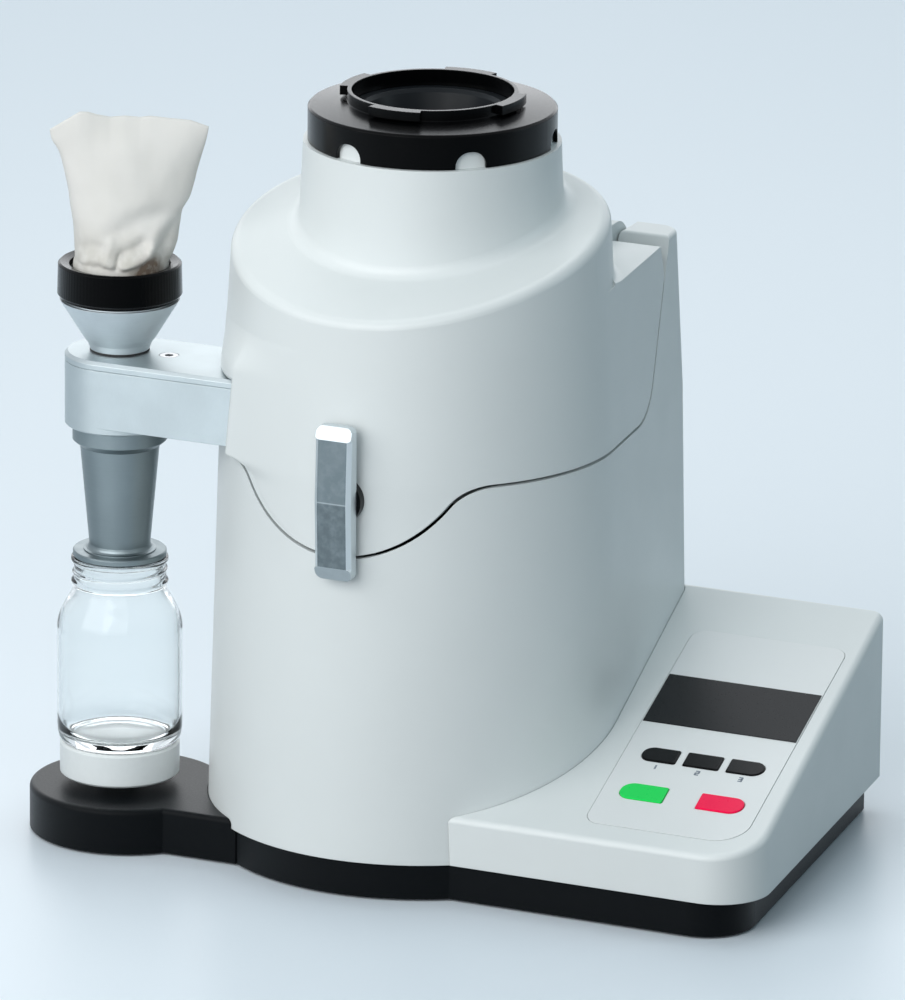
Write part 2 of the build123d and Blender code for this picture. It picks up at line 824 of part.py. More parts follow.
with BuildPart() as feed_funnel:
    cone_top = funnel_rim_height - funnel_rim_thick
    turn(neck, [(funnel_step_radius, funnel_rim_height), (funnel_rim_radius, funnel_rim_height),
                (funnel_rim_radius, cone_top), (funnel_step_radius, cone_top),
                (funnel_throat + funnel_wall, funnel_throat_height),
                (funnel_throat + funnel_wall, funnel_spout_end), (funnel_throat, funnel_spout_end),
                (funnel_throat, funnel_throat_height), (funnel_step_radius - funnel_wall, cone_top)])
pieces["feed_funnel"] = feed_funnel

# Latch: bush on the lid's face, lever outside, and a shaft with a cam behind the wall
lever_back = -latch_face - lever_stand
with BuildPart() as latch_bush:
    with BuildSketch(front_view(0)) as bush_face:
        with Locations((latch_x, latch_height)):
            Circle(bush_radius)
            Circle(latch_shaft_radius + running, mode=Mode.SUBTRACT)
    extrude(bush_face.sketch, amount=-lever_back - seam)
    add(tower_body(0, foot_height, ledge_height), mode=Mode.SUBTRACT)
pieces["latch_bush"] = latch_bush

with BuildPart() as latch_lever:
    with BuildSketch(front_view(lever_back)) as lever_face:
        with Locations((latch_x, latch_height)):
            RectangleRounded(lever_width, lever_length, lever_round)
    extrude(lever_face.sketch, amount=lever_thick)
    with BuildSketch(side_view(latch_x)) as lever_side:
        half = lever_length / 2
        front = lever_back - lever_thick
        with BuildLine():
            Polyline((lever_back, latch_height - half), (front + lever_end_drop, latch_height - half),
                     (front + lever_tent, latch_height - half + lever_end_slope), (front, latch_height),
                     (front + lever_tent, latch_height + half - lever_end_slope),
                     (front + lever_end_drop, latch_height + half), (lever_back, latch_height + half),
                     close=True)
        make_face()
    extrude(lever_side.sketch, amount=lever_width, both=True, mode=Mode.INTERSECT)
    long_edges = latch_lever.edges().filter_by(
        lambda edge: abs(edge.center().X - tower_x - latch_x) > lever_width / 2 - running
        and edge.center().Y < tower_y + lever_back - wall and edge.length > 2 * lever_round)
    chamfer(long_edges, lever_chamfer)
pieces["latch_lever"] = latch_lever

cam_front = -tower_radius(latch_height) + wall + cam_stand
with BuildPart() as latch_cam:
    with BuildSketch(front_view(lever_back)) as shaft_face:
        with Locations((latch_x, latch_height)):
            Circle(latch_shaft_radius)
    extrude(shaft_face.sketch, amount=lever_back - cam_front)
    with BuildSketch(front_view(cam_front)) as cam_face:
        with Locations((latch_x, latch_height - (cam_reach - cam_width / 2) / 2)):
            SlotCenterToCenter(cam_reach - cam_width / 2, cam_width, rotation=90)
    extrude(cam_face.sketch, amount=-cam_thick)
pieces["latch_cam"] = latch_cam

keeper_back = cam_front + cam_thick + seam
with BuildPart() as latch_keeper:
    keeper_front = -tower_radius(keeper_bottom) + wall + keeper_stand
    with BuildSketch(side_view(latch_x - keeper_width / 2)) as keeper_side:
        with BuildLine():
            Polyline((keeper_front, keeper_bottom), (keeper_front + keeper_thick, keeper_bottom),
                     (keeper_front + keeper_thick, keeper_shelf - keeper_thick),
                     (keeper_back + keeper_thick, keeper_shelf - keeper_thick),
                     (keeper_back + keeper_thick, keeper_top), (keeper_back, keeper_top),
                     (keeper_back, keeper_shelf), (keeper_front, keeper_shelf), close=True)
        make_face()
    extrude(keeper_side.sketch, amount=keeper_width)
pieces["latch_keeper"] = latch_keeper

# Grinding chamber on its deck
deck_bottom = deck_top - deck_thick
with BuildPart() as motor_deck:
    tube((0, 0), deck_radius, 0, deck_bottom, deck_top)
    tube(neck, bearing_radius, 0, deck_bottom - overrun, deck_top + overrun, mode=Mode.SUBTRACT)
pieces["motor_deck"] = motor_deck

with BuildPart() as deck_posts:
    for index in range(post_count):
        around = radians(post_start + index * 360 / post_count)
        post = (post_ring * cos(around), post_ring * sin(around))
        tube(post, post_radius, 0, ground_gap + base_floor, deck_bottom)
pieces["deck_posts"] = deck_posts

floor_top = deck_top + chamber_floor
with BuildPart() as chamber_housing:
    tube(neck, chamber_radius, 0, deck_top, chamber_top)
    tube(neck, chamber_bore, 0, floor_top, chamber_top + overrun, mode=Mode.SUBTRACT)
    tube(neck, shaft_radius + shaft_gap, 0, deck_top - overrun, floor_top + overrun, mode=Mode.SUBTRACT)
    bar((-chamber_radius - overrun, neck[0] - chamber_bore / 2), (channel_front, channel_back),
        (channel_bottom, channel_top), mode=Mode.SUBTRACT)
pieces["chamber_housing"] = chamber_housing

with BuildPart() as chamber_cover:
    cover_top = cover_height + cover_thick
    spout_hole = funnel_throat + funnel_wall + spout_gap
    turn(neck, [(spout_hole, cover_height), (chamber_radius, cover_height), (chamber_radius, cover_top),
                (neck_bore + cover_wall, cover_top), (neck_bore + cover_wall, neck_base),
                (neck_bore, neck_base), (neck_bore, cover_top), (spout_hole + cover_wall, cover_top),
                (spout_hole + cover_wall, cover_top + cover_hub), (spout_hole, cover_top + cover_hub)])
pieces["chamber_cover"] = chamber_cover

with BuildPart() as lid_seal:
    tube(neck, chamber_radius, chamber_radius - seal_width, chamber_top + seam, cover_height)
pieces["lid_seal"] = lid_seal

with BuildPart() as sieve_ring:
    sieve_top = floor_top + sieve_height
    tube(neck, sieve_radius, sieve_radius - sieve_thick, floor_top, sieve_top)
    with BuildSketch(level(floor_top + sieve_thick, neck)) as sieve_slot:
        with PolarLocations(sieve_radius, sieve_slots):
            Rectangle(4 * sieve_thick, sieve_slot_width)
    extrude(sieve_slot.sketch, amount=sieve_height - 2 * sieve_thick, mode=Mode.SUBTRACT)
pieces["sieve_ring"] = sieve_ring

with BuildPart() as friction_ring:
    tube(neck, friction_outer, friction_inner, sieve_top, sieve_top + friction_height)
pieces["friction_ring"] = friction_ring

rotor_bottom = floor_top + rotor_floor_gap
with BuildPart() as rotor:
    tube(neck, rotor_radius, 0, rotor_bottom, rotor_bottom + rotor_disc)
    tube(neck, rotor_hub, 0, rotor_bottom, rotor_bottom + blade_height)
    with BuildSketch(level(rotor_bottom, neck)) as blades:
        with PolarLocations(rotor_radius - blade_length / 2, rotor_blades):
            Rectangle(blade_length, blade_thick)
    extrude(blades.sketch, amount=blade_height)
    tube(neck, rotor_radius, 0, rotor_bottom, rotor_bottom + blade_height, mode=Mode.INTERSECT)
    tube(neck, shaft_radius, 0, rotor_bottom - overrun, rotor_bottom + blade_height + overrun,
         mode=Mode.SUBTRACT)
pieces["rotor"] = rotor

hub_top = rotor_bottom + blade_height
with BuildPart() as rotor_nut:
    with BuildSketch(level(hub_top, neck)) as nut_face:
        RegularPolygon(nut_radius, 6)
        Circle(shaft_radius, mode=Mode.SUBTRACT)
    extrude(nut_face.sketch, amount=nut_height)
pieces["rotor_nut"] = rotor_nut

# Motor
with BuildPart() as motor_shaft:
    tube(neck, shaft_radius, 0, shaft_end, hub_top + nut_height)
pieces["motor_shaft"] = motor_shaft

with BuildPart() as motor_can:
    tube(neck, motor_radius, motor_radius - motor_wall, motor_bottom, deck_bottom)
pieces["motor_can"] = motor_can

with BuildPart() as motor_end_cap:
    tube(neck, motor_radius, bearing_radius, motor_bottom - cap_thick, motor_bottom)
    tube(neck, bearing_radius + wall, bearing_radius, motor_bottom, motor_bottom + bearing_width - cap_thick)
pieces["motor_end_cap"] = motor_end_cap

with BuildPart() as motor_stator:
    tube(neck, motor_radius - motor_wall, stator_bore, stator_bottom, stator_top)
pieces["motor_stator"] = motor_stator

with BuildPart() as motor_armature:
    tube(neck, stator_bore - armature_gap, shaft_radius, stator_bottom, stator_top)
pieces["motor_armature"] = motor_armature

for name, bottom in (("lower_bearing", motor_bottom - cap_thick), ("upper_bearing", deck_bottom)):
    with BuildPart() as bearing:
        tube(neck, bearing_radius, shaft_radius + running, bottom, bottom + bearing_width)
    pieces[name] = bearing

with BuildPart() as cooling_fan:
    tube(neck, fan_radius, shaft_radius, fan_bottom, fan_bottom + fan_disc)
    tube(neck, rotor_hub, shaft_radius, fan_bottom, fan_bottom + fan_blade_height)
    with BuildSketch(level(fan_bottom, neck)) as fan_blade:
        with PolarLocations((rotor_hub + fan_radius) / 2, fan_blades):
            Rectangle(fan_radius - rotor_hub - fan_disc, fan_disc)
    extrude(fan_blade.sketch, amount=fan_blade_height)
pieces["cooling_fan"] = cooling_fan

# Side arm: a block with the dust channel and the cyclone's bore, under a separate cover plate
def arm_plan(height):
    """Plan of the arm: straight sides and a round end about the cyclone's axis."""
    length = arm_end - bottle_spot[0]
    with BuildSketch(level(height, bottle_spot)) as plan:
        Circle(arm_half)
        with Locations((length / 2, 0)):
            Rectangle(length, 2 * arm_half)
    return plan.sketch


arm_cover_bottom = arm_top - arm_cover_thick
boss_bottom = arm_bottom - arm_boss_drop
with BuildPart() as cyclone_arm:
    extrude(arm_plan(arm_bottom), amount=arm_cover_bottom - arm_bottom)
    tube(bottle_spot, arm_half, 0, boss_bottom, arm_bottom)
    tube(neck, chamber_radius + seam, 0, arm_bottom - overrun, arm_top, mode=Mode.SUBTRACT)
    tube(bottle_spot, arm_bore, 0, boss_bottom - overrun, arm_top, mode=Mode.SUBTRACT)
    bar((bottle_spot[0], arm_end + overrun), (channel_front, channel_back),
        (channel_bottom, channel_top), mode=Mode.SUBTRACT)
    tube(arm_screw_spot, arm_screw_shank, 0, arm_screw_end, arm_top, mode=Mode.SUBTRACT)
    chamfer(cyclone_arm.faces().sort_by(Axis.Z)[0].outer_wire().edges(), arm_bottom_chamfer)
pieces["cyclone_arm"] = cyclone_arm

with BuildPart() as arm_cover:
    extrude(arm_plan(arm_cover_bottom), amount=arm_cover_thick)
    chamfer(arm_cover.faces().sort_by(Axis.Z)[-1].outer_wire().edges(), arm_chamfer)
    chamfer(arm_cover.faces().sort_by(Axis.Z)[0].outer_wire().edges(), arm_groove)
    tube(neck, chamber_radius + seam, 0, arm_bottom, arm_top + overrun, mode=Mode.SUBTRACT)
    tube(bottle_spot, spigot_radius + spigot_gap, 0, arm_bottom, arm_top + overrun, mode=Mode.SUBTRACT)
    tube(arm_screw_spot, arm_screw_radius, 0, arm_cover_bottom + arm_screw_seat, arm_top + overrun,
         mode=Mode.SUBTRACT)
    tube(arm_screw_spot, arm_screw_shank, 0, arm_bottom, arm_top + overrun, mode=Mode.SUBTRACT)
pieces["arm_cover"] = arm_cover

with BuildPart() as arm_screw:
    head_bottom = arm_cover_bottom + arm_screw_seat
    turn(arm_screw_spot, [(0, arm_screw_end), (arm_screw_shank, arm_screw_end),
                          (arm_screw_shank, head_bottom), (arm_screw_radius, head_bottom),
                          (arm_screw_radius, arm_top - arm_groove), (arm_screw_radius - arm_groove, arm_top),
                          (0, arm_top)])
    with BuildSketch(level(arm_top, arm_screw_spot)) as hexagon:
        RegularPolygon(arm_screw_socket, 6)
    extrude(hexagon.sketch, amount=-arm_screw_socket, mode=Mode.SUBTRACT)
pieces["arm_screw"] = arm_screw

disc_bottom = bottle_top + seam
disc_top = disc_bottom + disc_thick
with BuildPart() as cyclone_body:
    foot_ring = [(cyclone_end_radius + out * cyclone_foot, disc_top + cyclone_foot_edge + up * cyclone_foot)
                 for out, up in foot_curve_shares]
    turn(bottle_spot, [(cyclone_end_radius - cyclone_wall, disc_top),
                       (cyclone_end_radius + cyclone_foot, disc_top),
                       (cyclone_end_radius + cyclone_foot, disc_top + cyclone_foot_edge), *foot_ring,
                       (cyclone_top_radius, cyclone_collar_end - cyclone_step),
                       (cyclone_collar, cyclone_collar_end), (cyclone_collar, boss_bottom),
                       (cyclone_top_radius - cyclone_wall, boss_bottom)])
pieces["cyclone_body"] = cyclone_body

with BuildPart() as cyclone_disc:
    tube(bottle_spot, disc_radius, cyclone_end_radius - cyclone_wall, disc_bottom, disc_top)
    chamfer(cyclone_disc.edges().filter_by(GeomType.CIRCLE).group_by(SortBy.RADIUS)[-1], disc_edge)
pieces["cyclone_disc"] = cyclone_disc

# Outlet that lifts out of the arm, with its seal, clamp ring and filter bag
o_ring_bottom = arm_top + rest_gap
cone_foot = o_ring_bottom + o_ring_height
thread_top = arm_top + outlet_thread_height
with BuildPart() as outlet_cone:
    rim_level = arm_top + outlet_rim_height
    inner_rim = outlet_thread - outlet_wall
    turn(bottle_spot, [(spigot_radius, spigot_end), (spigot_radius, cone_foot), (outlet_foot, cone_foot),
                       (outlet_swell, arm_top + outlet_swell_height),
                       (outlet_throat, arm_top + outlet_throat_height), (outlet_rim, rim_level),
                       (outlet_thread, rim_level), (outlet_thread, thread_top), (inner_rim, thread_top),
                       (inner_rim, rim_level - outlet_wall),
                       (outlet_foot, arm_top + outlet_throat_height - outlet_wall),
                       (spigot_bore, cone_foot + outlet_wall), (spigot_bore, spigot_end)])
pieces["outlet_cone"] = outlet_cone

with BuildPart() as outlet_seal:
    tube(bottle_spot, o_ring_radius, spigot_radius, o_ring_bottom, cone_foot)
pieces["outlet_seal"] = outlet_seal

with BuildPart() as bag_ring:
    ring_bore = outlet_thread + key_gap
    lip_bottom = thread_top + seam
    turn(bottle_spot, [(ring_bore, bag_ring_bottom), (bag_ring_foot_radius - bag_ring_bevel, bag_ring_bottom),
                       (bag_ring_foot_radius, bag_ring_bottom + bag_ring_bevel),
                       (bag_ring_radius, bag_ring_top - ring_bevel),
                       (bag_ring_radius - ring_bevel, bag_ring_top),
                       (bag_ring_lip, bag_ring_top - ring_bevel), (bag_ring_lip, lip_bottom),
                       (ring_bore, lip_bottom)])
pieces["bag_ring"] = bag_ring

# Flattened bag: its height as a share of its height above the neck, then half its width, half its
# thickness and how far its middle stands to one side, as shares of half its width at the top seam
bag_shares = [(0.2, 0.7, 0.575, 0.085), (0.47, 0.784, 0.446, 0.117), (0.74, 0.901, 0.282, 0.127),
              (1.0, 1.0, 0.1, 0.122)]
bag_sections = [(bag_foot, bag_base_radius, bag_base_radius, 0), (bag_neck, bag_base_radius, bag_base_radius, 0)]
bag_sections += [(bag_neck + up * bag_height, wide * bag_half_width, deep * bag_half_width, aside * bag_half_width)
                 for up, wide, deep, aside in bag_shares]
with BuildPart() as filter_bag:
    bag_faces = []
    for height, half_width, half_thick, aside in bag_sections:
        bag_plane = Plane(origin=(tower_x + bottle_spot[0], tower_y + bottle_spot[1], height),
                          x_dir=(cos(radians(bag_turn)), sin(radians(bag_turn)), 0), z_dir=(0, 0, 1))
        with BuildSketch(bag_plane) as bag_section:
            with Locations((aside, 0)):
                Ellipse(half_width, half_thick)
        bag_faces.append(bag_section.sketch)
    loft(sections=bag_faces[:2], ruled=True)
    loft(sections=bag_faces[1:])
pieces["filter_bag"] = filter_bag

# Sample bottle on its sprung rest
with BuildPart() as sample_bottle:
    neck_in = bottle_neck_radius - bottle_wall * neck_wall_share
    inside = bottle_radius - bottle_wall
    bulge = bottle_shoulder + (bottle_neck_bottom - bottle_shoulder) * shoulder_rise_share
    bulge_in = (bottle_radius - bottle_neck_radius) * shoulder_in_share
    with BuildSketch(upright(bottle_spot)) as bottle_profile:
        with BuildLine():
            Polyline((0, bottle_bottom), (bottle_foot_radius, bottle_bottom))
            ThreePointArc((bottle_foot_radius, bottle_bottom),
                          (bottle_radius - foot_curve, bottle_bottom + foot_curve),
                          (bottle_radius, bottle_bottom + bottle_foot_rise))
            Line((bottle_radius, bottle_bottom + bottle_foot_rise), (bottle_radius, bottle_shoulder))
            ThreePointArc((bottle_radius, bottle_shoulder), (bottle_radius - bulge_in, bulge),
                          (bottle_neck_radius, bottle_neck_bottom))
            Polyline((bottle_neck_radius, bottle_neck_bottom), (bottle_neck_radius, bottle_top - lip_height_b),
                     (bottle_lip, bottle_top - lip_height_b), (bottle_lip, bottle_top),
                     (neck_in, bottle_top), (neck_in, bottle_neck_bottom))
            ThreePointArc((neck_in, bottle_neck_bottom), (inside - bulge_in, bulge - bottle_wall),
                          (inside, bottle_shoulder))
            Polyline((inside, bottle_shoulder), (inside, bottle_bottom + bottle_base + foot_curve),
                     (inside - foot_curve, bottle_bottom + bottle_base), (0, bottle_bottom + bottle_base),
                     (0, bottle_bottom))
        make_face()
    bottle_axis = Axis((tower_x + bottle_spot[0], tower_y + bottle_spot[1], 0), (0, 0, 1))
    revolve(bottle_profile.sketch, axis=bottle_axis)
pieces["sample_bottle"] = sample_bottle

rest_top = bottle_bottom - rest_gap
with BuildPart() as bottle_rest:
    turn(bottle_spot, [(0, rest_stem_end), (rest_stem, rest_stem_end), (rest_stem, rest_bottom),
                       (rest_radius - rest_edge, rest_bottom), (rest_radius, rest_bottom + rest_edge),
                       (rest_radius, rest_top - rest_edge), (rest_radius - rest_edge, rest_top), (0, rest_top)])
pieces["bottle_rest"] = bottle_rest

guide_bottom = ground_gap + guide_floor
with BuildPart() as rest_spring:
    coil_height = rest_stem_end - guide_bottom - 2 * spring_wire
    with BuildLine():
        coil = Helix(pitch=coil_height / spring_turns, height=coil_height, radius=spring_radius,
                     center=(tower_x + bottle_spot[0], tower_y + bottle_spot[1],
                             guide_bottom + spring_wire))
    with BuildSketch(Plane(origin=coil @ 0, z_dir=coil % 0)) as coil_section:
        RegularPolygon(spring_wire, 6)
    sweep(coil_section.sketch, path=coil, is_frenet=True)
pieces["rest_spring"] = rest_spring

# Pad that carries the rest
with BuildPart() as bottle_pad:
    pad_middle = (pad_front + pad_back) / 2 - pad_spot[1]
    strip_end = pad_strip_end - pad_spot[0]
    with BuildSketch(level(ground_gap, pad_spot)) as pad_plan:
        Circle(pad_radius)
        with Locations((strip_end / 2, pad_middle)):
            Rectangle(strip_end, pad_back - pad_front)
        waist = pad_plan.vertices().filter_by(lambda vertex: pad_radius > vertex.X - tower_x - pad_spot[0] > 0)
        fillet(waist, pad_flare)
    extrude(pad_plan.sketch, amount=pad_top - ground_gap)
    fillet(bottle_pad.faces().sort_by(Axis.Z)[-1].outer_wire().edges(), pad_edge)
    with BuildSketch(level(ground_gap, pad_spot)) as pad_hollow:
        add(pad_plan.sketch_local)
        offset(amount=-wall)
    extrude(pad_hollow.sketch, amount=pad_top - wall - ground_gap, mode=Mode.SUBTRACT)
    tube(bottle_spot, rest_stem + guide_wall, 0, ground_gap, pad_top - wall / 2)
    tube(bottle_spot, rest_stem + running, 0, guide_bottom, pad_top + overrun, mode=Mode.SUBTRACT)
    extrude(tower_section(foot_height, base_inset - seam), amount=-foot_height, mode=Mode.SUBTRACT)
    add(tower_body(-seam, foot_height, horn_height), mode=Mode.SUBTRACT)
pieces["bottle_pad"] = bottle_pad

# Console cover: a lid over the electronics, open below and toward the tower
slope_angle = radians(console_slope)
panel_level = console_lip + (panel_y - console_front - console_lip_back) * tan(slope_angle)
console_span = console_back - console_front
panel_tan = tan(radians(panel_lean))


def console_top(height):
    """Plane of the console's sloping top at the panel's middle, moved along its normal by a height."""
    slope_plane = Plane(origin=(tower_x + panel_x, tower_y + panel_y, panel_level), x_dir=(1, 0, 0),
                        z_dir=(0, -sin(slope_angle), cos(slope_angle)))
    return slope_plane.offset(height)


def console_block(inset, bottom):
    """Console's solid outline, moved in by an inset at its walls and its top."""
    with BuildPart() as block:
        extrude(console_plan(bottom, inset, inset), amount=console_span)
        with BuildSketch(console_top(-inset)) as above:
            Rectangle(2 * console_span, 2 * console_span)
        extrude(above.sketch, amount=console_span, mode=Mode.SUBTRACT)
    return block.part


def leaning(height, along, width, tall, radii):
    """Leaning four-sided outline in the panel's plane: front left, front right, back right, back left."""
    corners = [(-panel_tan * (along + up) + side, along + up) for side, up in
               ((-width / 2, -tall / 2), (width / 2, -tall / 2), (width / 2, tall / 2), (-width / 2, tall / 2))]
    with BuildSketch(console_top(height)) as outline:
        with BuildLine():
            FilletPolyline(*corners, close=True, radius=radii)
        make_face()
    return outline.sketch


def panel_outline(height, inset):
    """Outline of the panel, moved in by an inset."""
    radii = [panel_corner - inset, panel_front_corner - inset, panel_corner - inset, panel_corner - inset]
    return leaning(height, 0, panel_width - 2 * inset, panel_height - 2 * inset, radii)


def key_outline(height, key, grow):
    """Outline of one key: one end may be round."""
    across, along, width, tall, round_end = key
    end = tall * key_round_share + grow
    corner = key_corner + grow
    radii = {"left": [end, corner, corner, end], "right": [corner, end, end, corner],
             "none": [corner] * 4}[round_end]
    half_w = width / 2 + grow
    half_h = tall / 2 + grow
    middle = across - panel_tan * along
    with BuildSketch(console_top(height)) as outline:
        with BuildLine():
            FilletPolyline((middle - half_w + panel_tan * half_h, along - half_h),
                           (middle + half_w + panel_tan * half_h, along - half_h),
                           (middle + half_w - panel_tan * half_h, along + half_h),
                           (middle - half_w - panel_tan * half_h, along + half_h), close=True, radius=radii)
        make_face()
    return outline.sketch


def rear_block(x, width, tall, y_span, mode=Mode.ADD):
    """Block in the console's back wall, between two values on the y axis."""
    with BuildSketch(front_view(y_span[1])) as outline:
        with Locations((x, inlet_height)):
            Rectangle(width, tall)
    extrude(outline.sketch, amount=y_span[1] - y_span[0], mode=mode)


keys = {
    "key_speed_low": (speed_key_x - speed_key_pitch, speed_key_y, speed_key_width, speed_key_height, "left"),
    "key_speed_mid": (speed_key_x, speed_key_y, speed_key_width, speed_key_height, "none"),
    "key_speed_high": (speed_key_x + speed_key_pitch, speed_key_y, speed_key_width, speed_key_height, "right"),
    "key_start": (run_key_x - run_key_pitch / 2, run_key_y, run_key_width, run_key_height, "left"),
    "key_stop": (run_key_x + run_key_pitch / 2, run_key_y, run_key_width, run_key_height, "right"),
}
inlet_opening = (inlet_width + 2 * seam, inlet_tall + 2 * seam)
frame_width = switch_width + 2 * switch_frame_wall
frame_tall = switch_tall + 2 * (rocker_room + switch_frame_wall)
display_middle = -panel_tan * display_y

with BuildPart() as console_cover:
    add(console_block(0, foot_height))
    top_axis = Axis((0, 0, 0), (0, -sin(slope_angle), cos(slope_angle)))
    top_edges = console_cover.faces().sort_by(top_axis)[-1].edges()
    fillet(top_edges.filter_by(lambda edge: edge.center().X > tower_x + console_inner_x + wall), console_edge)
    add(console_block(console_wall, foot_height - overrun), mode=Mode.SUBTRACT)
    extrude(panel_outline(-panel_depth, -seam), amount=panel_depth + overrun, mode=Mode.SUBTRACT)
    with BuildSketch(console_top(-board_depth)) as posts:
        for post_y in (board_post_front, board_post_back):
            with Locations((-board_post_x, post_y), (board_post_x, post_y)):
                Circle(board_post)
    extrude(posts.sketch, amount=board_depth - console_wall)
    with BuildSketch(console_top(-console_wall - overrun)) as display_opening:
        with Locations((display_middle, display_y)):
            Rectangle(display_window_width, display_window_height)
    extrude(display_opening.sketch, amount=console_wall + overrun, mode=Mode.SUBTRACT)
    for key in keys.values():
        extrude(key_outline(-console_wall - overrun, key, key_gap), amount=console_wall + 2 * overrun,
                mode=Mode.SUBTRACT)
    rear_block(inlet_x, *inlet_opening, (console_back - console_wall - overrun, console_back + overrun),
               mode=Mode.SUBTRACT)
    rear_block(switch_x, frame_width + 2 * seam, frame_tall + 2 * seam,
               (console_back - console_wall - overrun, console_back + overrun), mode=Mode.SUBTRACT)
    add(tower_body(-seam, foot_height, horn_height), mode=Mode.SUBTRACT)
pieces["console_cover"] = console_cover

with BuildPart() as control_panel:
    extrude(panel_outline(-panel_depth, 0), amount=panel_thick)
    extrude(display_opening.sketch, amount=console_wall + 2 * overrun, mode=Mode.SUBTRACT)
    for key in keys.values():
        extrude(key_outline(-console_wall, key, key_gap), amount=console_wall + overrun, mode=Mode.SUBTRACT)
pieces["control_panel"] = control_panel

with BuildPart() as display_window:
    extrude(leaning(panel_thick - panel_depth, display_y, panel_width - 2 * display_margin, display_height,
                    [0, 0, 0, 0]), amount=display_thick)
pieces["display_window"] = display_window

with BuildPart() as display_module:
    with BuildSketch(console_top(-board_depth)) as module_plan:
        with Locations((display_middle, display_y)):
            Rectangle(display_window_width + 2 * display_border, display_window_height + 2 * display_border)
    extrude(module_plan.sketch, amount=board_depth - console_wall - seam)
pieces["display_module"] = display_module

with BuildPart() as control_board:
    with BuildSketch(console_top(-board_depth - board_thick)) as board_plan:
        RectangleRounded(board_width, board_height, board_post)
    extrude(board_plan.sketch, amount=board_thick)
pieces["control_board"] = control_board

flange_top = -console_wall - seam
with BuildPart() as key_switches:
    with BuildSketch(console_top(-board_depth)) as switch_plan:
        for across, along, width, tall, round_end in keys.values():
            with Locations((across - panel_tan * along, along)):
                Rectangle(key_switch_size, key_switch_size)
    extrude(switch_plan.sketch, amount=board_depth + flange_top - key_flange_thick - key_travel - seam)
pieces["key_switches"] = key_switches

for name, key in keys.items():
    with BuildPart() as key_piece:
        extrude(key_outline(flange_top, key, 0), amount=key_proud - flange_top)
        fillet(key_piece.faces().sort_by(top_axis)[-1].edges(), key_edge)
        extrude(key_outline(flange_top, key, key_flange), amount=-key_flange_thick)
    pieces[name] = key_piece

# Mains inlet and switch
with BuildPart() as power_inlet:
    rear_block(inlet_x, inlet_width, inlet_tall, (console_back - inlet_deep, console_back))
    rear_block(inlet_x, inlet_width + 2 * inlet_flange, inlet_tall + 2 * inlet_flange,
               (console_back, console_back + inlet_flange_thick))
    rear_block(inlet_x, inlet_width - 2 * switch_frame_wall, inlet_tall - 2 * switch_frame_wall,
               (console_back - inlet_deep + switch_frame_wall, console_back + overrun), mode=Mode.SUBTRACT)
    with BuildSketch(front_view(console_back - switch_frame_wall)) as pins:
        with Locations((inlet_x, inlet_height)):
            with Locations((-inlet_pin_pitch, -inlet_pin), (0, inlet_pin), (inlet_pin_pitch, -inlet_pin)):
                Circle(inlet_pin)
    extrude(pins.sketch, amount=inlet_deep - switch_frame_wall - seam)
pieces["power_inlet"] = power_inlet

with BuildPart() as switch_frame:
    rear_block(switch_x, frame_width, frame_tall, (console_back - switch_deep, console_back))
    rear_block(switch_x, frame_width + switch_flange, frame_tall + switch_flange,
               (console_back, console_back + inlet_flange_thick))
    rear_block(switch_x, switch_width, switch_tall + 2 * rocker_room,
               (console_back - switch_deep + switch_frame_wall, console_back + overrun), mode=Mode.SUBTRACT)
    with BuildSketch(side_view(switch_x - switch_width / 2 - rocker_pin_reach - seam)) as pin_holes:
        with Locations((rocker_back, inlet_height)):
            Circle(rocker_pin + running)
    extrude(pin_holes.sketch, amount=switch_width + 2 * (rocker_pin_reach + seam), mode=Mode.SUBTRACT)
pieces["switch_frame"] = switch_frame

with BuildPart() as power_switch:
    rocker_half = switch_tall / 2 - rocker_room
    rocker_width = switch_width - 2 * key_gap
    with BuildSketch(side_view(switch_x - rocker_width / 2)) as rocker:
        with Locations(Location((rocker_back, inlet_height), rocker_tilt)):
            Polygon((rocker_rise, -rocker_half), (rocker_dish, 0), (rocker_rise, rocker_half),
                    (0, rocker_half), (-rocker_rise, rocker_half / 2), (-rocker_rise, -rocker_half / 2),
                    (0, -rocker_half), align=None)
    extrude(rocker.sketch, amount=rocker_width)
    with BuildSketch(side_view(switch_x - switch_width / 2 - rocker_pin_reach)) as rocker_pins:
        with Locations((rocker_back, inlet_height)):
            Circle(rocker_pin)
    extrude(rocker_pins.sketch, amount=switch_width + 2 * rocker_pin_reach)
pieces["power_switch"] = power_switch

for name, piece in pieces.items():
    piece.part.label = name
    export_step(piece.part, f"parts/{name}.step")
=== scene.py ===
import json
import math

import bmesh
import bpy
from mathutils import Matrix, Vector, noise


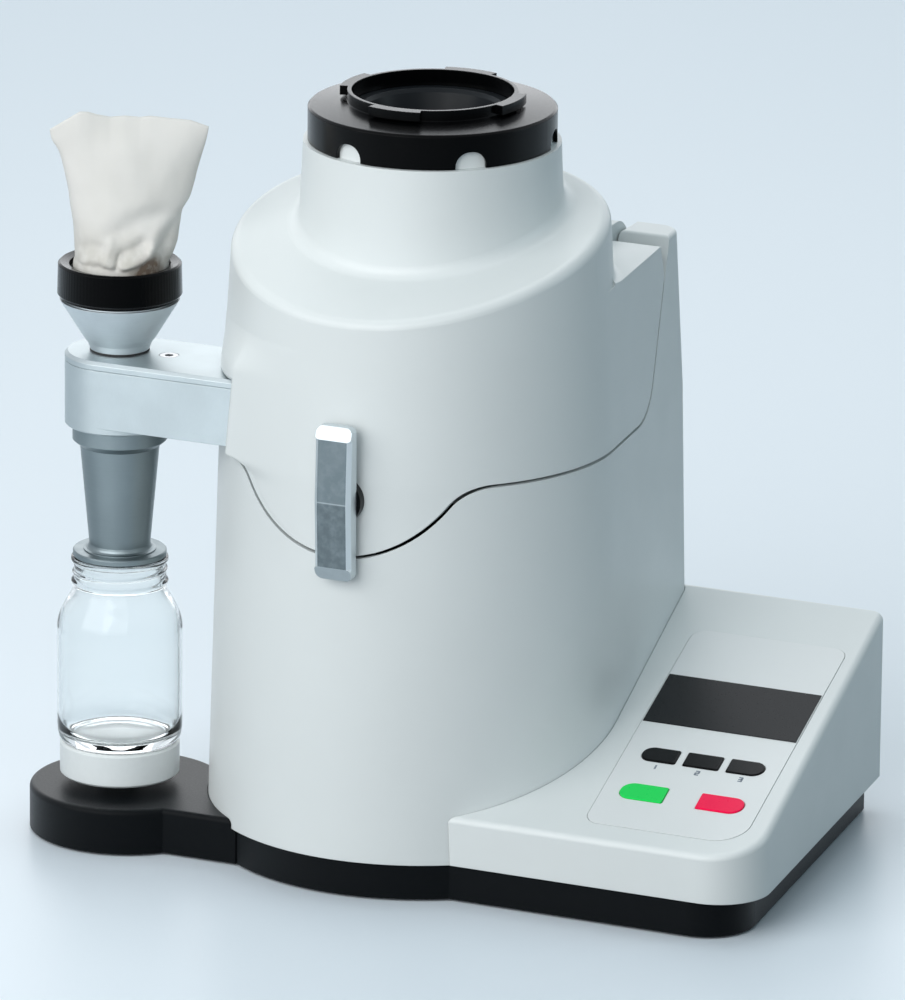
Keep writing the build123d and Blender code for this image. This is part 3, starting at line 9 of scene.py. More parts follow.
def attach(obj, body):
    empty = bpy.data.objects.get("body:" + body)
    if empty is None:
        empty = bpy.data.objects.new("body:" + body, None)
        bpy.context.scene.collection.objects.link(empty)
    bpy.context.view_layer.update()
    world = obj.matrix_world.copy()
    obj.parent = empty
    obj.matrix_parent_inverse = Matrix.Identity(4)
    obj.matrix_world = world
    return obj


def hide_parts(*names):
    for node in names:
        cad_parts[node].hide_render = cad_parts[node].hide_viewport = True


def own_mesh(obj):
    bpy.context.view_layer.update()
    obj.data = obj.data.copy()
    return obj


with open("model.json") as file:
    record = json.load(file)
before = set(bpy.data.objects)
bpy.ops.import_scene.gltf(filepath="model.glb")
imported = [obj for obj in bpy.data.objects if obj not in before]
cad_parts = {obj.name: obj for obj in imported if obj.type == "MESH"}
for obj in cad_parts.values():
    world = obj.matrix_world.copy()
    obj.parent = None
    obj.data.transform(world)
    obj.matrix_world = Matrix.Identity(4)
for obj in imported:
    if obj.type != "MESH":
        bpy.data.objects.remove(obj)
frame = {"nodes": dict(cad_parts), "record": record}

# Lengths are in mm, unless a comment says otherwise
MM = 0.001
FULL_TURN = 2 * math.pi
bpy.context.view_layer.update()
# Axes in the row frame: that of the tower, and that of the bottle, the cyclone and the bag
TOWER = Vector((-16.249, -15.833, 0.0))
BOTTLE = TOWER + Vector((-157.1, -56.6, 0.0))
WHOLE = (0.0, 1.0)                             # range of a source that is already a share


def upright(height):
    return Vector((0, 0, height))


def share_of(value, start, end):
    """How far a value is from start to end, held between 0 and 1."""
    return min(1.0, max(0.0, (value - start) / (end - start)))


def ease(share):
    """Share with a soft start and end."""
    share = min(1.0, max(0.0, share))
    return share * share * (3 - 2 * share)


def scaled(color, factor, lift=0.0):
    return tuple(min(1.0, c * factor + lift) for c in color)


# Node materials
class Paint:
    """One node material: a Principled shader and the nodes that feed it."""

    def __init__(self, name, color, rough, metal=0.0, **more):
        self.mat = bpy.data.materials.new(name)
        self.mat.use_nodes = True
        self.mat.diffuse_color = (*color, 1.0)
        self.tree = self.mat.node_tree
        self.shader = self.tree.nodes["Principled BSDF"]
        self.shader.inputs["Base Color"].default_value = (*color, 1.0)
        self.shader.inputs["Roughness"].default_value = rough
        self.shader.inputs["Metallic"].default_value = metal
        for key, value in more.items():
            self.shader.inputs[key.replace("_", " ")].default_value = value
        self.color = color
        self.bump = None

    def node(self, kind, **values):
        """New node; a value goes to its property, or else to its input."""
        made = self.tree.nodes.new(kind)
        for key, value in values.items():
            if hasattr(made, key):
                setattr(made, key, value)
            else:
                made.inputs[key.replace("_", " ")].default_value = value
        return made

    def link(self, a, b):
        self.tree.links.new(a, b)

    def calc(self, operation, *operands):
        """Arithmetic on sockets and plain numbers."""
        made = self.node("ShaderNodeMath", operation=operation)
        for operand, entry in zip(operands, made.inputs):
            if isinstance(operand, (int, float)):
                entry.default_value = operand
            else:
                self.link(operand, entry)
        return made.outputs[0]

    def axes(self, vector):
        """X, Y and Z of a vector."""
        split = self.node("ShaderNodeSeparateXYZ")
        self.link(vector, split.inputs[0])
        return split.outputs

    def coords(self, scale=(1, 1, 1), shift=(0, 0, 0)):
        """Place on the object, in metres."""
        place = self.node("ShaderNodeTexCoord")
        mapping = self.node("ShaderNodeMapping")
        mapping.inputs["Scale"].default_value = scale
        mapping.inputs["Location"].default_value = shift
        self.link(place.outputs["Object"], mapping.inputs["Vector"])
        return mapping.outputs["Vector"]

    def noise(self, scale, detail=3.0, stretch=(1, 1, 1)):
        made = self.node("ShaderNodeTexNoise", Scale=scale, Detail=detail)
        self.link(self.coords(stretch), made.inputs["Vector"])
        return made.outputs["Fac"]

    def wave(self, direction, scale, stretch=(1, 1, 1)):
        made = self.node("ShaderNodeTexWave", wave_type="BANDS", bands_direction=direction,
                         Scale=scale, Distortion=0.6)
        self.link(self.coords(stretch), made.inputs["Vector"])
        return made.outputs["Fac"]

    def spread(self, source, low, high, start=0.3, end=0.7):
        """Low where the source is at start, high where it is at end."""
        made = self.node("ShaderNodeMapRange", From_Min=start, From_Max=end,
                         To_Min=low, To_Max=high)
        self.link(source, made.inputs["Value"])
        return made.outputs["Result"]

    def tint(self, source, other, start=0.35, end=0.65):
        """Blends the base colour toward another by a texture."""
        mix = self.node("ShaderNodeMix", data_type="RGBA")
        slots = [s for s in mix.inputs if s.type == "RGBA"]
        held = self.shader.inputs["Base Color"]
        if held.is_linked:
            self.link(held.links[0].from_socket, slots[0])
        else:
            slots[0].default_value = (*self.color, 1.0)
        slots[1].default_value = (*other, 1.0)
        self.link(self.spread(source, 0.0, 1.0, start, end), mix.inputs["Factor"])
        self.link([s for s in mix.outputs if s.type == "RGBA"][0], held)

    def roughen(self, source, low, high):
        self.link(self.spread(source, low, high), self.shader.inputs["Roughness"])

    def relief(self, source, strength, depth):
        made = self.node("ShaderNodeBump", Strength=strength, Distance=depth * MM)
        self.link(source, made.inputs["Height"])
        if self.bump:
            self.link(self.bump, made.inputs["Normal"])
        self.bump = made.outputs["Normal"]
        self.link(self.bump, self.shader.inputs["Normal"])

    def edges(self, radius):
        """Rounds sharp edges for the light."""
        made = self.node("ShaderNodeBevel", samples=6, Radius=radius * MM)
        self.bump = made.outputs["Normal"]
        self.link(self.bump, self.shader.inputs["Normal"])


def painted(name, color, rough=0.42, grain=0.25, edge=0.6):
    """Powder paint with a fine grain."""
    p = Paint(name, color, rough, Coat_Weight=0.12, Coat_Roughness=0.25)
    p.edges(edge)
    p.tint(p.noise(9.0, 4.0), scaled(color, 0.965))
    p.roughen(p.noise(45.0, 5.0), rough - 0.05, rough + 0.06)
    p.relief(p.noise(1500.0, 2.0), grain, depth=0.06)
    p.relief(p.noise(330.0, 3.0), grain * 0.5, depth=0.08)
    return p.mat


def moulded(name, color, rough, grain=0.3, edge=0.4, coat=0.0, facing=1.0):
    """Moulded plastic; facing is the share of mirror light that it keeps where it faces the eye."""
    p = Paint(name, color, rough, Coat_Weight=coat, Coat_Roughness=0.06,
              Specular_Tint=(facing, facing, facing, 1.0))
    p.edges(edge)
    p.tint(p.noise(300.0, 4.0), scaled(color, 1.02, 0.0003))
    p.roughen(p.noise(900.0, 3.0), rough - 0.03, rough + 0.03)
    p.relief(p.noise(2200.0, 2.0), grain, depth=0.05)
    return p.mat


def turned(name, color, rough):
    """Turned metal: fine level lines, as from a lathe."""
    p = Paint(name, color, rough, metal=1.0)
    p.edges(0.3)
    p.tint(p.noise(28.0, 4.0), scaled(color, 0.9))
    lines = p.noise(260.0, 4.0, stretch=(0.35, 0.35, 14.0))
    p.roughen(lines, rough - 0.07, rough + 0.09)
    p.relief(lines, 0.35, depth=0.04)
    return p.mat


def cast(name, color, rough, grain=0.5):
    """Cast or sintered metal with a coarse grain."""
    p = Paint(name, color, rough, metal=1.0)
    p.edges(0.3)
    p.tint(p.noise(60.0, 5.0), scaled(color, 0.8))
    p.roughen(p.noise(200.0, 5.0), rough - 0.08, rough + 0.1)
    p.relief(p.noise(1300.0, 4.0), grain, depth=0.1)
    return p.mat


def brushed(name, color, rough, grain):
    """Metal with fine upright brush lines."""
    p = Paint(name, color, rough, metal=1.0)
    p.edges(0.4)
    p.tint(p.noise(35.0, 4.0), scaled(color, 0.92))
    lines = p.noise(500.0, 4.0, stretch=(12.0, 12.0, 1.0))
    p.roughen(lines, rough - 0.08, rough + 0.09)
    p.relief(lines, grain, depth=0.04)
    p.relief(p.noise(1800.0, 2.0), grain, depth=0.05)
    return p.mat


def glass(name):
    """Clear glass, slightly uneven."""
    p = Paint(name, (0.97, 0.99, 0.99), rough=0.0, Transmission_Weight=1.0, IOR=1.5,
              Specular_Tint=(0.4, 0.4, 0.4, 1.0))
    p.relief(p.noise(55.0, 2.0), 0.12, depth=0.4)
    return p.mat


def rubber(name, color):
    p = Paint(name, color, rough=0.75)
    p.tint(p.noise(120.0, 4.0), scaled(color, 1.5, 0.004))
    p.relief(p.noise(900.0, 4.0), 0.4, depth=0.1)
    return p.mat


LEVER_CREASE = 227.8                           # height of the crease across the lever


def levered(name):
    """Satin lever: a dark face with a crease across its middle, painted shade below the crease, a
    painted highlight along it, and painted light on the sides and ends.
    """
    p = Paint(name, (0.17, 0.205, 0.22), rough=0.42, metal=1.0)
    p.edges(0.5)
    place = p.node("ShaderNodeTexCoord")
    height = p.axes(place.outputs["Object"])["Z"]
    p.tint(p.noise(35.0, 4.0), (0.15, 0.185, 0.20))
    # Painted shade: the face is darker below the crease
    painted_shade_below = p.spread(height, 1.0, 0.0, (LEVER_CREASE - 1.0) * MM, (LEVER_CREASE - 0.2) * MM)
    p.tint(painted_shade_below, (0.13, 0.158, 0.17), *WHOLE)
    p.tint(p.noise(260.0, 6.0), (0.195, 0.232, 0.247), 0.4, 0.8)
    # Painted highlight: a light line along the crease
    apart = p.calc("ABSOLUTE", p.calc("SUBTRACT", height, LEVER_CREASE * MM))
    p.tint(p.spread(apart, 0.35, 0.0, 0.1 * MM, 0.5 * MM), (0.60, 0.65, 0.67), *WHOLE)
    # Painted light: faces that turn away from the front, the sides and ends, are made lighter
    facing_front = p.axes(place.outputs["Normal"])["Y"]
    p.tint(p.spread(facing_front, 0.0, 1.0, -0.975, -0.88), (0.64, 0.69, 0.71), *WHOLE)
    lines = p.noise(600.0, 4.0, stretch=(14.0, 14.0, 1.0))
    p.roughen(lines, 0.36, 0.5)
    p.relief(lines, 0.45, depth=0.04)
    p.relief(p.noise(2200.0, 2.0), 0.35, depth=0.05)
    return p.mat


def fluted(name, color, axis, count):
    """Gloss plastic with fine upright flutes about an axis."""
    p = Paint(name, color, rough=0.22, Specular_Tint=(0.09, 0.09, 0.09, 1.0))
    p.edges(0.6)
    p.roughen(p.noise(700.0, 3.0), 0.2, 0.26)
    spot = p.axes(p.coords(shift=tuple(-axis * MM)))
    angle = p.calc("ARCTAN2", spot["Y"], spot["X"])
    p.relief(p.calc("SINE", p.calc("MULTIPLY", angle, count)), 0.3, depth=0.06)
    return p.mat


housing_mat = painted("housing_paint", (0.755, 0.785, 0.783))
panel_mat = painted("panel_film", (0.78, 0.80, 0.80), 0.36, grain=0.12, edge=0.3)
base_mat = moulded("base_plastic", (0.003, 0.004, 0.005), 0.42, grain=0.5, edge=1.2, facing=0.12)
black_mat = moulded("black_plastic", (0.0015, 0.002, 0.0025), 0.30, facing=0.13)
gloss_mat = moulded("gloss_black", (0.0008, 0.001, 0.0012), 0.24, grain=0.05, edge=0.8, facing=0.1)
funnel_mat = moulded("funnel_plastic", (0.006, 0.008, 0.010), 0.36, facing=0.25)
clamp_mat = fluted("clamp_plastic", (0.0008, 0.001, 0.0012), BOTTLE, count=96.0)
white_mat = moulded("white_plastic", (0.78, 0.81, 0.81), 0.35, grain=0.15, edge=0.8, coat=0.1)
lever_mat = levered("lever_metal")
cone_mat = turned("cone_metal", (0.66, 0.71, 0.73), 0.46)
cyclone_mat = turned("cyclone_metal", (0.24, 0.285, 0.30), 0.36)
arm_mat = brushed("arm_metal", (0.53, 0.585, 0.60), 0.42, grain=0.25)
cast_mat = cast("cast_aluminium", (0.55, 0.57, 0.58), 0.42)
grit_mat = cast("grit_iron", (0.10, 0.10, 0.10), 0.65, grain=1.0)
core_mat = cast("core_iron", (0.09, 0.09, 0.10), 0.55)
steel_mat = turned("plain_steel", (0.50, 0.51, 0.52), 0.28)
motor_mat = painted("motor_paint", (0.03, 0.03, 0.035), 0.4)
glass_mat = glass("bottle_glass")
rubber_mat = rubber("rubber", (0.012, 0.012, 0.013))
display_mat = moulded("display_film", (0.002, 0.003, 0.004), 0.3, grain=0.03, edge=0.2, facing=0.17)
board_mat = moulded("circuit_board", (0.012, 0.09, 0.035), 0.4)
green_mat = moulded("key_green", (0.015, 0.70, 0.11), 0.3, grain=0.1, edge=0.5, facing=0.12)
red_mat = moulded("key_red", (0.96, 0.003, 0.075), 0.3, grain=0.1, edge=0.5, facing=0.12)
ink_mat = moulded("grey_ink", (0.24, 0.28, 0.33), 0.5, grain=0.05)

by_slot = {
    "base_plastic": base_mat, "rubber": rubber_mat, "housing": housing_mat, "steel": steel_mat,
    "black_plastic": black_mat, "gloss_black": gloss_mat, "funnel_plastic": funnel_mat,
    "satin_metal": cyclone_mat, "cast_aluminium": cast_mat, "grit_iron": grit_mat,
    "motor_paint": motor_mat, "core_iron": core_mat, "satin_aluminium": arm_mat,
    "bag_fabric": white_mat, "bottle_glass": glass_mat, "white_plastic": white_mat,
    "panel_plastic": panel_mat, "display_plastic": display_mat, "board_green": board_mat,
    "key_green": green_mat, "key_red": red_mat}
# Pieces whose finish differs from that of their slot
own = {"latch_lever": lever_mat, "outlet_cone": cone_mat, "feed_ring": gloss_mat,
       "latch_bush": black_mat, "bag_ring": clamp_mat}
slot_of = {s["node"]: s["material_slot"] for s in frame["record"]["subparts"]}
for name, node in frame["nodes"].items():
    mat = own.get(name, by_slot[slot_of[name]])
    if not node.material_slots:
        node.data.materials.append(mat)
    for entry in node.material_slots:
        entry.material = mat


# Mesh pieces
def mesh_object(name, verts, faces, mat):
    mesh = bpy.data.meshes.new(name)
    mesh.from_pydata(verts, [], faces)
    mesh.update()
    mesh.materials.append(mat)
    made = bpy.data.objects.new(name, mesh)
    bpy.context.scene.collection.objects.link(made)
    return made


def piece(name, verts, faces, mat, body, smooth=True):
    """Mesh object that moves with a body."""
    made = mesh_object(name, verts, faces, mat)
    for face in made.data.polygons:
        face.use_smooth = smooth
    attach(made, body)
    return made


def lattice(rows, columns, wrap):
    """Four-sided faces between neighbouring rows of points; wrap closes each row on itself."""
    faces = []
    for row in range(rows - 1):
        near, far = row * columns, (row + 1) * columns
        for column in range(columns if wrap else columns - 1):
            after = (column + 1) % columns
            faces.append((near + column, near + after, far + after, far + column))
    return faces


def face_outward(made, weld=None, to_left=False):
    """Turns the faces all one way, after joining points that lie together."""
    work = bmesh.new()
    work.from_mesh(made.data)
    if weld:
        bmesh.ops.remove_doubles(work, verts=work.verts, dist=weld * MM)
    bmesh.ops.recalc_face_normals(work, faces=work.faces)
    if to_left and sum(face.normal.x * face.calc_area() for face in work.faces) > 0:
        bmesh.ops.reverse_faces(work, faces=work.faces)
    work.to_mesh(made.data)
    work.free()


def lathe(name, spot, outline, mat, body, steps, bend):
    """Turns an outline of (radius, height); bend(angle, radius, height) may move a point."""
    verts, faces = [], []
    rows = len(outline)
    for index in range(steps):
        angle = FULL_TURN * index / steps
        for radius, height in outline:
            radius, height = bend(angle, radius, height)
            verts.append(((spot.x + radius * math.cos(angle)) * MM,
                          (spot.y + radius * math.sin(angle)) * MM, height * MM))
    for index in range(steps):
        here, after = index * rows, (index + 1) % steps * rows
        for row in range(rows - 1):
            faces.append((here + row, after + row, after + row + 1, here + row + 1))
    made = piece(name, verts, faces, mat, body)
    face_outward(made, weld=0.001)
    return made


def sample(points, count):
    """Points along a Catmull-Rom line through the given ones."""
    found = []
    padded = [points[0], *points, points[-1]]
    for i in range(1, len(padded) - 2):
        near = list(zip(*padded[i - 1:i + 3]))
        for k in range(count):
            t = k / count
            found.append(tuple(
                0.5 * (2 * b + (c - a) * t + (2 * a - 5 * b + 4 * c - d) * t * t
                       + (3 * b - a - 3 * c + d) * t ** 3)
                for a, b, c, d in near))
    found.append(points[-1])
    return found


# Sample bottle with its thread finish and thick base: outlines of (radius, height)
THREAD_ROOT, THREAD_RISE, THREAD_HALF_WIDTH = 25.4, 1.2, 0.78
THREAD_TOP, THREAD_ROW, THREAD_ROWS = 155.2, 0.42, 22
THREAD_START, THREAD_PITCH, THREAD_TURNS, THREAD_FADE = 147.4, 4.1, 1.6, 8
THREAD_LIMITS = (146.2, 155.3)
bottle_inside = [
    (0.01, 56.6), (12, 56.4), (24, 56.2), (29.0, 56.8), (31.6, 59.0), (32.6, 63.5), (32.7, 68),
    (32.7, 118), (32.55, 121.0), (31.6, 125.3), (29.6, 129.4), (26.8, 133.6), (24.4, 137.3),
    (23.2, 140.6), (22.95, 144), (22.95, 157.6), (23.4, 158.5), (24.2, 158.8)]
bottle_lip = [(26.2, 158.8), (26.9, 158.4), (27.15, 157.6), (27.15, 156.8), (26.7, 156.2),
              (25.6, 155.8)]
bottle_neck = [(THREAD_ROOT, THREAD_TOP - THREAD_ROW * k) for k in range(THREAD_ROWS)]
bottle_outside = [
    (25.6, 145.8), (26.7, 145.2), (27.1, 144.5), (26.9, 143.6), (26.3, 142.9), (26.1, 141.8),
    (26.4, 139.6), (27.8, 136.6), (30.2, 132.4), (32.6, 127.8), (34.2, 123.4), (34.9, 119.6),
    (35, 116), (35, 62), (34.8, 58), (34.2, 54.8), (33.2, 52.9), (31.6, 52.0), (29.5, 52.1),
    (27.5, 52.9), (22, 53.3), (0.01, 53.5)]


def thread(angle, radius, height):
    """Raises the neck's thread: one and a half turns, fading at both ends."""
    low, high = THREAD_LIMITS
    if radius != THREAD_ROOT or not low < height < high:
        return radius, height
    best = 0.0
    for turn in range(-1, 3):
        along_thread = angle / FULL_TURN + turn
        middle = THREAD_START + THREAD_PITCH * along_thread
        fade = max(0.0, min(1.0, (along_thread - 0.02) * THREAD_FADE,
                            (THREAD_TURNS - along_thread) * THREAD_FADE))
        best = max(best, fade * math.exp(-((height - middle) / THREAD_HALF_WIDTH) ** 2))
    return radius + THREAD_RISE * best, height


bottle = lathe("bottle_glass", BOTTLE, bottle_inside + bottle_lip + bottle_neck + bottle_outside,
               glass_mat, "bottle", 160, thread)
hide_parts("sample_bottle")

# Spring under the bottle rest
SPRING_LOW, SPRING_HIGH, SPRING_COIL, SPRING_WIRE, SPRING_TURNS = 5.0, 14.5, 7.0, 0.5, 4


def spring(steps=192, around=12):
    """Round wire along a helix, closed at both ends."""
    verts = []
    for step in range(steps + 1):
        share = step / steps
        angle = FULL_TURN * SPRING_TURNS * share
        out = Vector((math.cos(angle), math.sin(angle), 0))
        middle = BOTTLE + out * SPRING_COIL
        middle += upright(SPRING_LOW + (SPRING_HIGH - SPRING_LOW) * share)
        for k in range(around):
            turn = FULL_TURN * k / around
            rim = out * math.cos(turn) + upright(math.sin(turn))
            verts.append(tuple((middle + rim * SPRING_WIRE) * MM))
    faces = lattice(steps + 1, around, True)
    faces += [tuple(reversed(range(around))), tuple(range(steps * around, (steps + 1) * around))]
    return piece("rest_spring_wire", verts, faces, steel_mat, "housing_body")


coil = spring()
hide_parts("rest_spring")
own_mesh(coil)

# Filter bag: a sewn tube of cloth, flat at its top seam and gathered into the clamp ring
BAG_TURN = math.radians(24)
WIDE = Vector((math.cos(BAG_TURN), math.sin(BAG_TURN), 0))
DEEP = Vector((-math.sin(BAG_TURN), math.cos(BAG_TURN), 0))
BAG_FOOT, BAG_HEAD = 316.0, 411.0
BAG_RING, BAG_FREE = 328.6, 331.6              # held up to the one, free from the other
BAG_FLATTENS = 380.0                           # from here up the two sides come together
CLOTH_THICK = 0.6
STAIN = BOTTLE + WIDE * 17 - DEEP * 21 + upright(326.5)


def cloth():
    """Woven cloth, darker and browner in patches just above the clamp ring, and with one brown
    stain.
    """
    p = Paint("bag_cloth", (0.80, 0.775, 0.74), rough=0.85, Sheen_Weight=0.2, Sheen_Roughness=0.5)
    p.tint(p.noise(40.0, 5.0), (0.77, 0.745, 0.705))
    place = p.node("ShaderNodeTexCoord")
    # Darker, browner patches just above the clamp ring, fading out by 356 mm
    low = p.spread(p.axes(place.outputs["Object"])["Z"], 1.0, 0.0, 333 * MM, 356 * MM)
    darker_above_ring = p.calc("MULTIPLY", low, p.spread(p.noise(90.0, 4.0), 0.35, 1.0, 0.35, 0.6))
    p.tint(darker_above_ring, (0.55, 0.52, 0.465), 0.0, 1.15)
    reach = p.node("ShaderNodeVectorMath", operation="DISTANCE")
    p.link(place.outputs["Object"], reach.inputs[0])
    reach.inputs[1].default_value = STAIN * MM
    near = p.spread(reach.outputs["Value"], 1.0, 0.0, 7 * MM, 13.5 * MM)
    stained = p.calc("MULTIPLY", near, p.spread(p.noise(260.0, 4.0), 0.7, 1.0, 0.4, 0.6))
    p.tint(stained, (0.17, 0.12, 0.085), 0.0, 0.9)
    p.relief(p.wave("Z", 900.0), 0.15, depth=0.06)
    p.relief(p.wave("DIAGONAL", 800.0, (1, 1, 0)), 0.15, depth=0.06)
    p.relief(p.noise(220.0, 5.0), 0.2, depth=0.2)
    return p.mat


# Height, left edge, right edge and half thickness of the bag
bag_rows = [
    (316, -26.2, 26.6, 26.4), (328, -25.4, 26.9, 26.2), (331, -24.6, 28.0, 25.8),
    (340, -24.8, 31.2, 24.6), (347, -25.1, 32.4, 23.4), (352, -25.6, 33.2, 22.3),
    (359, -26.8, 34.4, 20.6), (365, -27.7, 38.0, 19.0), (369, -28.2, 39.4, 17.8),
    (378, -30.0, 41.7, 15.2), (392, -33.0, 45.2, 10.6), (403, -36.8, 47.4, 5.6),
    (411, -38.2, 48.6, 1.3)]
# Place across and height of the bag's top edge
bag_top = [
    (-38.2, 403.0), (-29.6, 408.2), (-21.9, 412.8), (-17.5, 412.6), (-13.1, 411.2), (-5.4, 409.6),
    (2.8, 410.2), (11.1, 409.4), (16.6, 410.1), (27.6, 409.0), (38.6, 408.3), (44.1, 406.6),
    (48.6, 405.2)]
# Folds of the near side: how far the cloth stands out, how wide the fold is, and its line
bag_folds = [
    (-4.6, 3.2, [(31.0, 352.0), (27.0, 346.0), (24.4, 340.0), (24.6, 334.0), (25.6, 330.0)]),
    (2.0, 3.8, [(34.0, 361.0), (27.0, 356.0), (21.5, 349.5), (18.0, 343.0)]),
    (2.4, 2.0, [(31.5, 348.0), (30.6, 341.0), (29.2, 335.0)]),
    (3.2, 2.2, [(18.6, 342.0), (16.8, 337.6), (12.5, 334.6), (7.0, 332.6), (2.5, 331.4)]),
    (-2.6, 3.4, [(13.0, 344.0), (8.0, 341.0), (3.0, 339.0)]),
    (-1.6, 1.0, [(0.0, 338.0), (-0.9, 334.0), (-1.1, 329.4)]),
    (1.4, 2.6, [(-4.0, 345.0), (-5.6, 339.0), (-6.4, 334.0)]),
    (2.2, 2.4, [(-19.6, 332.0), (-15.2, 334.0), (-9.5, 334.4), (-4.4, 332.2)]),
    (-1.8, 3.2, [(-20.0, 340.0), (-14.5, 342.0), (-10.0, 341.0)]),
    (-2.4, 6.0, [(-2.0, 349.0), (6.0, 353.0), (14.8, 357.0), (24.0, 360.0)]),
    (-0.5, 8.0, [(-16.0, 398.0), (-12.0, 380.0), (-12.0, 362.0)]),
    (0.5, 8.0, [(8.0, 402.0), (6.0, 385.0), (10.0, 368.0)])]


def along(table, place):
    """Reads a table of rows at a place between its first column's values."""
    for low, high in zip(table, table[1:]):
        if place <= high[0]:
            break
    share = share_of(place, low[0], high[0])
    return [a + (b - a) * share for a, b in zip(low[1:], high[1:])]


def off_line(x, y, line):
    """Distance from a point to a line of points."""
    best = math.inf
    for (ax, ay), (bx, by) in zip(line, line[1:]):
        run = (bx - ax) ** 2 + (by - ay) ** 2
        share = min(1.0, max(0.0, ((x - ax) * (bx - ax) + (y - ay) * (by - ay)) / run))
        best = min(best, math.hypot(x - ax - share * (bx - ax), y - ay - share * (by - ay)))
    return best


def fold(angle, across, height):
    """How far the folds push the cloth: drawn folds on the near side, soft ripples on the far."""
    c, s = math.cos(angle), math.sin(angle)
    push = 0.0
    if s < 0:
        push = sum(out * math.exp(-(off_line(across, height, line) / wide) ** 2)
                   for out, wide, line in bag_folds) * (-s) ** 0.5
    ripple = 1.2 * math.sin(5 * angle + 0.05 * height) * math.exp(-((height - 345) / 22) ** 2)
    push += ripple * max(0.0, s)
    push += noise.noise(Vector((c * 1.9, s * 1.9, height / 24))) * 0.9
    return push + noise.noise(Vector((c * 5.0, s * 5.0, height / 9))) * 0.2


def gather(angle, height):
    """Small gathers just above the ring."""
    waves = 0.3 * math.sin(17 * angle + 0.6) + 0.25 * math.sin(26 * angle + 2.0)
    return waves * math.exp(-max(0.0, height - 331) / 7)


def bag(steps=240, rows=120):
    """Cloth skin of the bag: rows of ellipses that flatten upward, with folds."""
    line = sample(bag_rows, 16)
    verts = []
    for row in range(rows + 1):
        height = BAG_FOOT + (BAG_HEAD - BAG_FOOT) * row / rows
        left, right, half_thick = along(line, height)
        middle, half_wide = (left + right) / 2, (right - left) / 2
        free = share_of(height, BAG_RING, BAG_FREE)
        high = share_of(height, BAG_FLATTENS, BAG_HEAD)
        for step in range(steps):
            angle = FULL_TURN * step / steps
            c, s = math.cos(angle), math.sin(angle)
            across = middle + half_wide * c
            push = (fold(angle, across, height) + gather(angle, height)) * free
            push *= 1.0 - 0.85 * high ** 3
            lift = (along(bag_top, across)[0] - BAG_HEAD) * ease(high)
            bow = 1.4 * math.sin(0.06 * across + 0.5) * high
            spot = WIDE * across + DEEP * (half_thick * s + bow)
            spot += (WIDE * c * 0.25 + DEEP * s) * push
            verts.append(((BOTTLE.x + spot.x) * MM, (BOTTLE.y + spot.y) * MM, (height + lift) * MM))
    faces = lattice(rows + 1, steps, True)
    # The top seam joins the near side to the far side
    last = rows * steps
    for step in range(steps // 2):
        corners = (step, step + 1, (steps - step - 1) % steps, (steps - step) % steps)
        faces.append(tuple(last + corner for corner in dict.fromkeys(corners)))
    made = piece("filter_bag_cloth", verts, faces, cloth(), "outlet")
    thick = made.modifiers.new("thick", "SOLIDIFY")
    thick.thickness = CLOTH_THICK * MM
    thick.offset = 0.0
    return made


filter_cloth = bag()
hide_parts("filter_bag")

# Tower beside the arm, from its axis. Above SPLIT the lid narrows, below it the housing widens.
SPLIT, SPLIT_RADIUS = 236.0, 111.2
LID_NARROWS, LID_HEIGHT = 6.7, 114
HOUSING_WIDENS, HOUSING_HEIGHT = 5.6, 214.5
# The joint steps down beside the arm on a round, and dips behind the lever on another
STEP_X, STEP_WIDTH, STEP_ROUND = -75.9, 20.5, 25.0
DIP_X, DIP_Z, DIP_ROUND = 3.5, 266.7, 72.0
# The arm's cut-out in the lid: its front edge, as an angle in degrees from the front that falls with
# height, and its top
GAP_ANGLE, GAP_LEAN, GAP_HEIGHT = 39.9, 1.8, 47
GAP_FRONT, TOP_OF_GAP = -88.4, 279.0
# Swell: how far it stands out, and over which degrees and heights it fades away
SWELL_OUT, SWELL_CURVE = 7.8, 2.6
SWELL_START, SWELL_END, SWELL_LIP, SWELL_TOP = 12.0, 96.0, 280.8, 308.0
FADE_BACK, FADE_FROM, FADE_UP, FADE_DOWN = 30, 284, 23, 10
RIM_STEP = 0.15                                # proud in the middle, sunk at the border
EDGE_ROUND, LIP_ROUND, FRONT_OVERLAP = 0.9, 2.3, 0.75


def skin(height):
    """Radius of the tower's face at a height."""
    if height > SPLIT:
        return SPLIT_RADIUS - LID_NARROWS * (height - SPLIT) / LID_HEIGHT
    return SPLIT_RADIUS + HOUSING_WIDENS * (SPLIT - height) / HOUSING_HEIGHT


def joint_height(x):
    """Height of the lid's lower edge at a place across."""
    aside = x - STEP_X
    if aside < STEP_WIDTH:
        return SPLIT - STEP_ROUND + math.sqrt(STEP_ROUND ** 2 - max(0.0, aside) ** 2)
    return DIP_Z - math.sqrt(DIP_ROUND ** 2 - (x - DIP_X) ** 2)


def gap_angle(height):
    """Angle of the cut-out's front edge at a height."""
    return GAP_ANGLE - GAP_LEAN * (height - SPLIT) / GAP_HEIGHT


def swell_spot(share, height):
    """Point of the swell; share runs from 0 to the cut-out's front edge at 1, and over it to 2."""
    limit = gap_angle(height)
    if share <= 1:
        angle = SWELL_START + (limit - SWELL_START) * share
        out = ((angle - SWELL_START) / (limit - SWELL_START)) ** SWELL_CURVE
    else:
        angle = limit + (SWELL_END - limit) * (share - 1)
        out = 1 - ease((angle - limit) / FADE_BACK)
    if height > SPLIT:
        tall = 1 - ease((height - FADE_FROM) / FADE_UP)
    else:
        tall = 1 - ease((SPLIT - height) / FADE_DOWN)
    rim = ease(min(1.0, 4 * share, 3 * (2 - share), (SWELL_TOP - height) / 7))
    reach = skin(height) + SWELL_OUT * out * tall + RIM_STEP * rim - RIM_STEP * (1 - rim)
    turn = math.radians(angle)
    return Vector((-reach * math.sin(turn), -reach * math.cos(turn), height))


